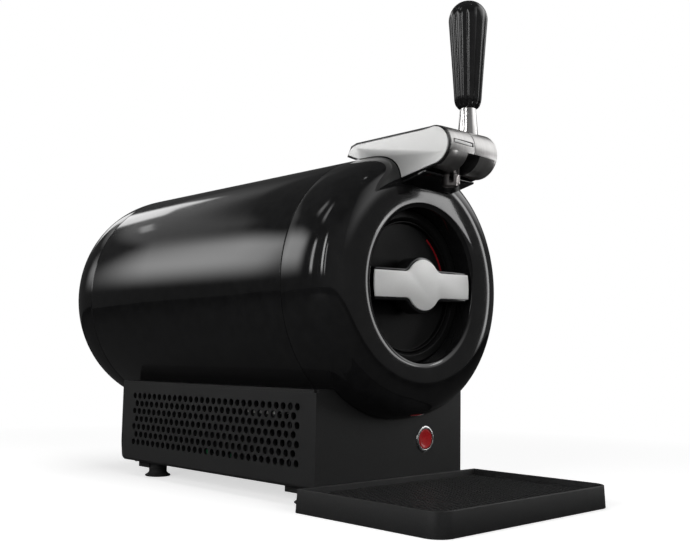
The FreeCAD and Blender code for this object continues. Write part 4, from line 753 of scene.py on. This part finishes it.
# The outline was drawn as (x, y) on the YZ plane; PLATE_TO_Z lays it on the ground.
bmesh.ops.transform(mesh, matrix=PLATE_TO_Z, verts=mesh.verts[:])
lid = pushed(mesh, mesh.faces[:], b.z)
bmesh.ops.contextual_create(mesh, geom=[e for e in mesh.edges if all(abs(v.co.z) < 1e-4 for v in e.verts)])
lean = Matrix.Translation((0, (front + rear) / 2, 0)) @ Matrix.Diagonal(
    (1 - 0.8 / half, 1 - 1.6 / (rear - front), 1, 1)) @ Matrix.Translation((0, -(front + rear) / 2, 0))
bmesh.ops.transform(mesh, matrix=lean, verts=[v for f in lid for v in f.verts])
bmesh.ops.inset_region(mesh, faces=lid, thickness=RIM_WIDTH, depth=0, use_even_offset=True)
ledge = pushed(mesh, lid, grid_low.z - b.z)
bmesh.ops.inset_region(mesh, faces=ledge, thickness=LEDGE_WIDTH, depth=0, use_even_offset=True)
pushed(mesh, ledge, TRAY_FLOOR - grid_low.z)
bmesh.ops.recalc_face_normals(mesh, faces=mesh.faces[:])
crisp = [e for e in mesh.edges if len(e.link_faces) == 2 and e.calc_face_angle() > 0.9
         and abs(e.verts[0].co.z - e.verts[1].co.z) < 1e-4]
bevel(mesh, crisp, 0.7, 3)
under = base_low.z - 0.3
block(mesh, -45, 45, 27.5, 36, TRAY_FLOOR, under, edge=0.5)
block(mesh, -45, 45, 30.5, 60, under - 3, under, edge=0.5)
piece("tray", mesh, "tray", TRAY_BLACK, ["drip_tray"])
NODES["drip_grid"].data.materials.clear()
NODES["drip_grid"].data.materials.append(TRAY_BLACK)

# %% [markdown]
# ## Tap head
#
# Seen from the side the head is a wedge: a round front that holds the drum, a flat top, a chamfered tail
# over the hinge, and a belly that slopes down to the nose. Each cheek is a light plate laid on a black
# frame that stands a little proud all round it. The lower edge isn't drawn at all. It is cut with the
# nose's own curve, grown by the gap, so the two always fit.

# %% Cheeks and head body
GAP = 0.6
HEAD_R, CHEEK_INSET = 15.2, 0.9
BELLY_Y, BELLY_Z = 8.0, 243.6
TIP_Z = 271.9
mesh = bmesh.new()
spin(mesh, [(y, r) for y, r in nose_curve(GAP, until=NOSE_CREST)]
     + [(NOSE_Y - NOSE_REACH - GAP, 0), (NOSE_Y + 60, 0), (NOSE_Y + 60, BARREL_R + GAP)], steps=192)
lay(mesh, z=AXIS_Z)
SEAT = cutter("nose_clearance", mesh, MATTE_BLACK)


def side_view(inset):
    """The head seen from the side, as corners with their bends."""
    radius, top = HEAD_R - inset, high("left_cheek").z - inset
    slope = (BELLY_Y, BELLY_Z + inset)
    away = math.hypot(slope[0] - DRUM.y, slope[1] - DRUM.z)
    toward = math.degrees(math.atan2(slope[1] - DRUM.z, slope[0] - DRUM.y) - math.acos(radius / away))
    crown = 82
    tip_y, tip_z = high("left_cheek").y - FACE_Y + CHEEK_INSET - inset, TIP_Z + inset
    front = arc(DRUM.y, DRUM.z, radius, toward, crown - 360, 36)
    return front + [(DRUM.y + 8, top, 5), (tip_y - 10.2, top, 3), (tip_y - 4, top - 1.8, 2.5),
                    (tip_y, tip_z), (tip_y - 12, tip_z - 5), (34, 226), (slope[0], slope[1])]


cheek_out = high("right_cheek").x
HEAD_HALF = high("lever_hub").x + 0.2
STILL_END = low("drum_cap").x
ARM_IN = {-1: -STILL_END, 1: HEAD_HALF}
SKIN = 0.75
for side, name in ((-1, "left"), (1, "right")):
    mesh = bmesh.new()
    plate(mesh, side_view(0), ARM_IN[side] * side, (cheek_out - SKIN) * side, edge=0.4, both=False)
    frame_piece = piece(f"{name}_cheek_frame", mesh, "head", GRIP_BLACK)
    cut(frame_piece, SEAT)
    mesh = bmesh.new()
    plate(mesh, side_view(1.15), (cheek_out - SKIN) * side, cheek_out * side, edge=0.55, segments=4, both=False)
    face_piece = piece(f"{name}_cheek_face", mesh, "head", SILVER_PAINT, [f"{name}_cheek"])
    cut(face_piece, SEAT)

# %% [markdown]
# ## Drum
#
# The drum crosses the head's front. Its left half stands still and carries a small latch tab in a shallow
# pocket; its right half turns with the lever. Both are one turned cone in form, split by a groove at the
# middle. A slot underneath gives the spout its room.

# %% Drum and latch
DRUM_R, DRUM_SPREAD, CORE_R = 16.5, 1.1, 6.3


def drum_radius(x):
    return DRUM_R + DRUM_SPREAD / HEAD_HALF * x


mesh = bmesh.new()
spin(mesh, [(STILL_END + 0.05, 4.05), (STILL_END + 0.05, drum_radius(STILL_END), 0.4),
            (-0.25, drum_radius(0), 0.35), (-0.25, 4.05)], steps=144)
lay(mesh, TO_X, y=DRUM.y, z=DRUM.z)
still = piece("drum_still", mesh, "head", DRUM_METAL, ["drum_cap"])

mesh = bmesh.new()
spin(mesh, [(0.25, 4.05), (0.25, drum_radius(0), 0.35), (HEAD_HALF - 0.3, drum_radius(HEAD_HALF), 2.2),
            (HEAD_HALF - 0.3, 4.05)], steps=144, segments=7)
lay(mesh, TO_X, y=DRUM.y, z=DRUM.z)
hub = piece("drum_turning", mesh, "lever", DRUM_METAL, ["lever_hub"])

mesh = bmesh.new()
block(mesh, -7.4, 6.6, DRUM.y - 30, DRUM.y + 30, DRUM.z - 40, DRUM.z - CORE_R / math.sqrt(2),
      edge=0)
NOTCH = cutter("spout_notch", mesh, MATTE_BLACK)
cut(still, NOTCH)
cut(hub, NOTCH)

tab_low, tab_high = low("latch_tab").x, high("latch_tab").x
mesh = bmesh.new()
block(mesh, tab_low - 1.0, tab_high + 0.6, DRUM.y - 30, DRUM.y - DRUM_R + 1.6, DRUM.z + 0.7, DRUM.z + 4.1,
      edge=0.35)
cut(still, cutter("latch_pocket", mesh, MATTE_BLACK))

mesh = bmesh.new()
block(mesh, tab_low, tab_high, DRUM.y - DRUM_R + 0.15, DRUM.y - 14.6, DRUM.z + 1.0, DRUM.z + 3.2, edge=0.3)
piece("latch", mesh, "head", TAB_METAL, ["latch_tab"])

# %% [markdown]
# ## Lever
#
# The neck is a plated cone. The grip is a teardrop of eleven flutes. It is spun first as a plain teardrop
# and then every ring is drawn in between the flutes by a cosine, whose depth fades out under the dome and
# deepens at the foot, where the ridges end in rounded lobes. That way the flutes stay perfectly even, which
# cutting eleven grooves by hand wouldn't give.

# %% Lever
mesh = bmesh.new()
neck_top = high("lever_neck").z
spin(mesh, [(280, 0), (280, 7.9), (286, 7.6), (neck_top - 0.2, 6.15, 0.3), (neck_top - 0.2, 0)], steps=96)
lay(mesh, TO_Z)
lay(mesh, x=LEVER_X, y=DRUM.y)
neck = piece("neck", mesh, "lever", NECK_CHROME, ["lever_neck"])

grip_low, grip_top = low("lever_grip").z, high("lever_grip").z
FLUTES, FOOT_Z, WIDE_Z = 11, 312.0, 373.6
side = [(grip_low, 0), (grip_low, 5.9), (grip_low + 0.2, 6.9), (grip_low + 1.0, 8.2), (grip_low + 2.4, 9.4),
        (grip_low + 4.4, 10.2), (grip_low + 6.6, 10.6)]
side += [(FOOT_Z + (WIDE_Z - FOOT_Z) * i / 26, 10.75 + 4.55 * (i / 26) ** 1.05) for i in range(27)]
side += [(WIDE_Z + (grip_top - WIDE_Z) * math.sin(math.radians(t)), 15.3 * math.cos(math.radians(t)) ** 0.92)
         for t in range(5, 90, 5)]
mesh = bmesh.new()
spin(mesh, side + [(grip_top, 0)], steps=FLUTES * 16)


def flute_depth(z):
    """How deep the flutes are at a height: full along the grip, none on the dome."""
    rise = min(max((z - grip_low) / 6, 0), 1)
    fade = min(max((grip_top - 7.5 - z) / 9, 0), 1)
    return 1.05 * rise ** 0.5 * fade * fade * (3 - 2 * fade)


for vert in mesh.verts:
    reach = math.hypot(vert.co.x, vert.co.z)
    if reach > 1:
        turn = math.atan2(vert.co.z, vert.co.x)
        ridge = abs(math.cos(FLUTES * turn / 2)) ** 0.8
        factor = 1 - flute_depth(vert.co.y) * (1 - ridge) / reach
        vert.co.x *= factor
        vert.co.z *= factor
        if vert.co.y < grip_low + 4.5:
            vert.co.y += 1.3 * (1 - ridge) * min(max((reach - 6.4) / 2, 0), 1)
lay(mesh, TO_Z)
lay(mesh, x=LEVER_X, y=DRUM.y)
piece("grip", mesh, "lever", GRIP_BLACK, ["lever_grip"], sharp=60)

# %% [markdown]
# ## Chin and spout
#
# The chin is the thin shelf that runs out from the nose under the head and carries the spout. The spout is
# a short tube with a slot in its side, so that the keg's own beer line can be laid in from the front, and
# a rod beside it with a rounded top.

# %% Chin and spout
chin_low, chin_high = low("tap_chin"), high("tap_chin")
mesh = bmesh.new()
front_y = chin_low.y - FACE_Y
plate(mesh, [(front_y, chin_high.z, 0.8), (6, 242.3), (6, 240.5), (front_y, chin_high.z - 1.8, 0.7)],
      chin_low.x, chin_high.x, edge=0.5)
chin = piece("chin", mesh, "machine", GRIP_BLACK, ["tap_chin"])
cut(chin, SEAT)

SPOUT_Y, ROD = -25.0, (3.0, -28.2)
spout_low = low("nozzle").z
mesh = bmesh.new()
spin(mesh, [(spout_low, 4.4, 0.3), (spout_low, 5.7, 0.4), (249.6, 7.2, 0.3), (250.4, 6.2), (256, 6.2, 0.3),
            (256, 4.7, 0.3)], steps=64)
lay(mesh, TO_Z)
lay(mesh, y=SPOUT_Y)
spout = piece("spout", mesh, "machine", SPOUT_METAL, ["nozzle"])
mesh = bmesh.new()
block(mesh, -1.7, 1.7, -12.5, 0, spout_low + 3, 260, edge=0.3)
lay(mesh, Matrix.Rotation(-math.pi / 4, 4, "Z"))
lay(mesh, y=SPOUT_Y)
cut(spout, cutter("spout_slot", mesh, SPOUT_METAL))

mesh = bmesh.new()
rod_top = high("nozzle").z
spin(mesh, [(spout_low + 1.4, 0), (spout_low + 1.4, 2.9, 0.4), (rod_top, 2.9, 2.85), (rod_top, 0)], steps=48,
     segments=8)
lay(mesh, TO_Z)
lay(mesh, x=ROD[0], y=ROD[1])
piece("spout_rod", mesh, "machine", SPOUT_METAL)

# %% [markdown]
# ## Studio
#
# The camera stands low at the front left with a normal lens, about 80 cm from the machine. The floor and
# the world are white to the camera. The floor is dark to everything else, because glossy black shows
# nothing but its surroundings: on an all-white floor it would look grey. Three large soft lamps light the
# machine, and are hidden from its gloss. A small lamp close to the nose does the opposite: it lights nothing
# and is only seen in the gloss, as the light shape above the bore.

# %% Floor and world
def place(name, data, x, y, z):
    item = bpy.data.objects.new(name, data)
    item.location = (x * MM, (y + FACE_Y) * MM, z * MM)
    bpy.context.scene.collection.objects.link(item)
    return item


mesh = bmesh.new()
bmesh.ops.create_grid(mesh, x_segments=1, y_segments=1, size=3000)
floor = bpy.data.objects.new("floor", finish_mesh(mesh, "floor"))
bpy.context.scene.collection.objects.link(floor)
floor.location.z = -0.0002
paper = Paint("paper", Base_Color=(0.75, 0.75, 0.75, 1), Roughness=0.95, Specular_IOR_Level=0.0)
away = paper.node("ShaderNodeVectorMath", {"operation": "LENGTH"}, out="Value", Vector=paper.here)


def glow(paint, level, strength=1.0):
    return paint.node("ShaderNodeEmission", Color=level, Strength=strength)


def either(paint, share, first, second):
    """The first shader where share is 0 and the second where it is 1."""
    made = paint.tree.nodes.new("ShaderNodeMixShader")
    for place_in, item in zip(made.inputs, (share, first, second)):
        paint.plug(place_in, item)
    return Value(paint, made.outputs[0])


WHITE = (1, 1, 1, 1)
lit = paper.tree.nodes.new("ShaderNodeAddShader")
paper.plug(lit.inputs[0], Value(paper, paper.shader.outputs[0]))
paper.plug(lit.inputs[1], glow(paper, WHITE, 0.62))
near = either(paper, away.band(0.28, 0.75), Value(paper, lit.outputs[0]), glow(paper, WHITE))
dark = paper.node("ShaderNodeBsdfDiffuse", Color=(0.09, 0.09, 0.09, 1))
clear = (paper.node("ShaderNodeLightPath", out="Is Camera Ray")
         + paper.node("ShaderNodeLightPath", out="Is Transmission Ray")).clamped()
surface = next(n for n in paper.tree.nodes if n.type == "OUTPUT_MATERIAL")
paper.plug(surface.inputs["Surface"], either(paper, clear, dark, near))
floor.data.materials.append(paper.material)

# %% [markdown]
# ## The room that the gloss shows
#
# Polished black is drawn by what stands around it. So the room is painted by direction: a compass bearing
# and a height above the horizon, both in degrees. Bearing 0 looks along +Y, the way the barrel points, and
# -90 looks out over the machine's left side. Each panel is a soft-edged rectangle between four bearings
# and four heights. The wide one behind the left shoulder makes the broad grey band along the barrel; the
# upright slits beside it make the thin streaks where the nose curves round, and their weak twins below are
# their reflections in a table top. The panel at the front right is for the metal of the drum. Bounced light
# sees an even, dim room instead, so none of these panels changes how bright the machine is lit.

# %% World
class Sky(Paint):
    """The world's own nodes, written as formulas too."""

    def __init__(self, world):
        world.use_nodes = True
        self.tree = world.node_tree
        self.tree.nodes.clear()
        self.here = self.node("ShaderNodeTexCoord", out="Generated")

    def along(self, name):
        return self.node("ShaderNodeSeparateXYZ", out=name, Vector=self.here)


world = bpy.data.worlds.new("studio")
bpy.context.scene.world = world
sky = Sky(world)
DEGREES = math.degrees(1)
bearing = sky.along("X").math("ARCTAN2", sky.along("Y")) * DEGREES
height = sky.along("Z").math("ARCSINE") * DEGREES
room = height.hill(-25, 3, 30, 48) * (sky.along("Y") * -1).band(-0.3, 1.0) * 0.15 + 0.055
for bearings, heights, level in (
        ((-54, -40, -35, -13), (4, 19, 25, 36), 3.5),
        ((-70.5, -69, -65, -63), (6, 12, 28, 33), 6.0),
        ((-101.5, -99.5, -96, -93.5), (5, 14, 32, 39), 9.0),
        ((-110.5, -109, -107, -105.5), (5, 11, 27, 31), 4.5),
        ((-72, -69, -65, -61), (-44, -34, -22, -16), 0.6),
        ((-110, -104, -95, -90), (-56, -40, -28, -20), 0.9),
        ((-71, -67, -62, -57), (43, 49, 54, 63), 2.2),
        ((-45, -41, -37, -32), (43, 49, 53, 58), 1.6),
        ((-26, -14, 4, 34), (25, 29, 35, 40), 0.32),
        ((8, 11, 19, 22), (14, 22, 31.6, 33), 1.8),
        ((-6, -4, 1, 3), (29.6, 30.4, 31.6, 32.4), 0.9),
        ((115, 118, 121, 124), (-2, 1, 16, 24), 4.0),
        ((152, 156, 161, 165), (76, 78.5, 80.5, 83), 4.0),
        ((74, 92, 130, 190), (12, 25, 46, 60), 1.5)):
    room = bearing.hill(*bearings) * height.hill(*heights) * level + room
calm = sky.node("ShaderNodeBackground", Color=(0.07, 0.07, 0.07, 1), Strength=1.0)
shown = sky.node("ShaderNodeBackground", Color=WHITE, Strength=room)
white = sky.node("ShaderNodeBackground", Color=WHITE, Strength=1.0)
glossy = sky.node("ShaderNodeLightPath", out="Is Glossy Ray")
clear = (sky.node("ShaderNodeLightPath", out="Is Camera Ray")
         + sky.node("ShaderNodeLightPath", out="Is Transmission Ray")).clamped()
final = sky.tree.nodes.new("ShaderNodeOutputWorld")
sky.plug(final.inputs["Surface"], either(sky, clear, either(sky, glossy, calm, shown), white))

# %% Lamps and camera
def lamp(name, x, y, z, aim, width, height, power):
    light = bpy.data.lights.new(name, "AREA")
    light.shape, light.size, light.size_y = "RECTANGLE", width * MM, height * MM
    light.energy = power
    item = place(name, light, x, y, z)
    item.rotation_mode = "QUATERNION"
    item.rotation_quaternion = ((Vector(aim) - Vector((x, y, z))) * MM).to_track_quat("-Z", "Y")
    return item


for name, spot_xyz, aim, width, height, power in (
        ("left_softbox", (-1150, -100, 420), (0, 60, 220), 700, 700, 8.6),
        ("front_softbox", (-200, -1300, 500), (0, 0, 150), 700, 700, 6.2),
        ("top_softbox", (0, 200, 1350), (0, 100, 150), 900, 1100, 7.0)):
    lamp(name, *spot_xyz, aim, width, height, power).visible_glossy = False
glint = lamp("nose_glint", 176, -138, 250, (32, -2, 230), 34, 58, 0.03)
glint.visible_camera = glint.visible_diffuse = False

camera = bpy.data.cameras.new("camera")
camera.sensor_width, camera.lens = 36.0, 46.32
camera.clip_start, camera.clip_end = 0.05, 20
yaw, pitch, roll = (math.radians(a) for a in (44.59, 5.89, 1.01))
ahead = Vector((math.sin(yaw) * math.cos(pitch), math.cos(yaw) * math.cos(pitch), math.sin(pitch)))
level = Vector((math.cos(yaw), -math.sin(yaw), 0))
upward = level.cross(ahead)
side_axis = level * math.cos(roll) + upward * math.sin(roll)
up_axis = upward * math.cos(roll) - level * math.sin(roll)
eye = bpy.data.objects.new("camera", camera)
eye.matrix_world = Matrix.Translation((-0.52664, -0.59344, 0.10489)) @ Matrix(
    (side_axis, up_axis, -ahead)).transposed().to_4x4()
bpy.context.scene.collection.objects.link(eye)
bpy.context.scene.camera = eye
bpy.context.scene.view_settings.view_transform = "Standard"

# %% Count the pieces
print("pieces:", len(PIECES))
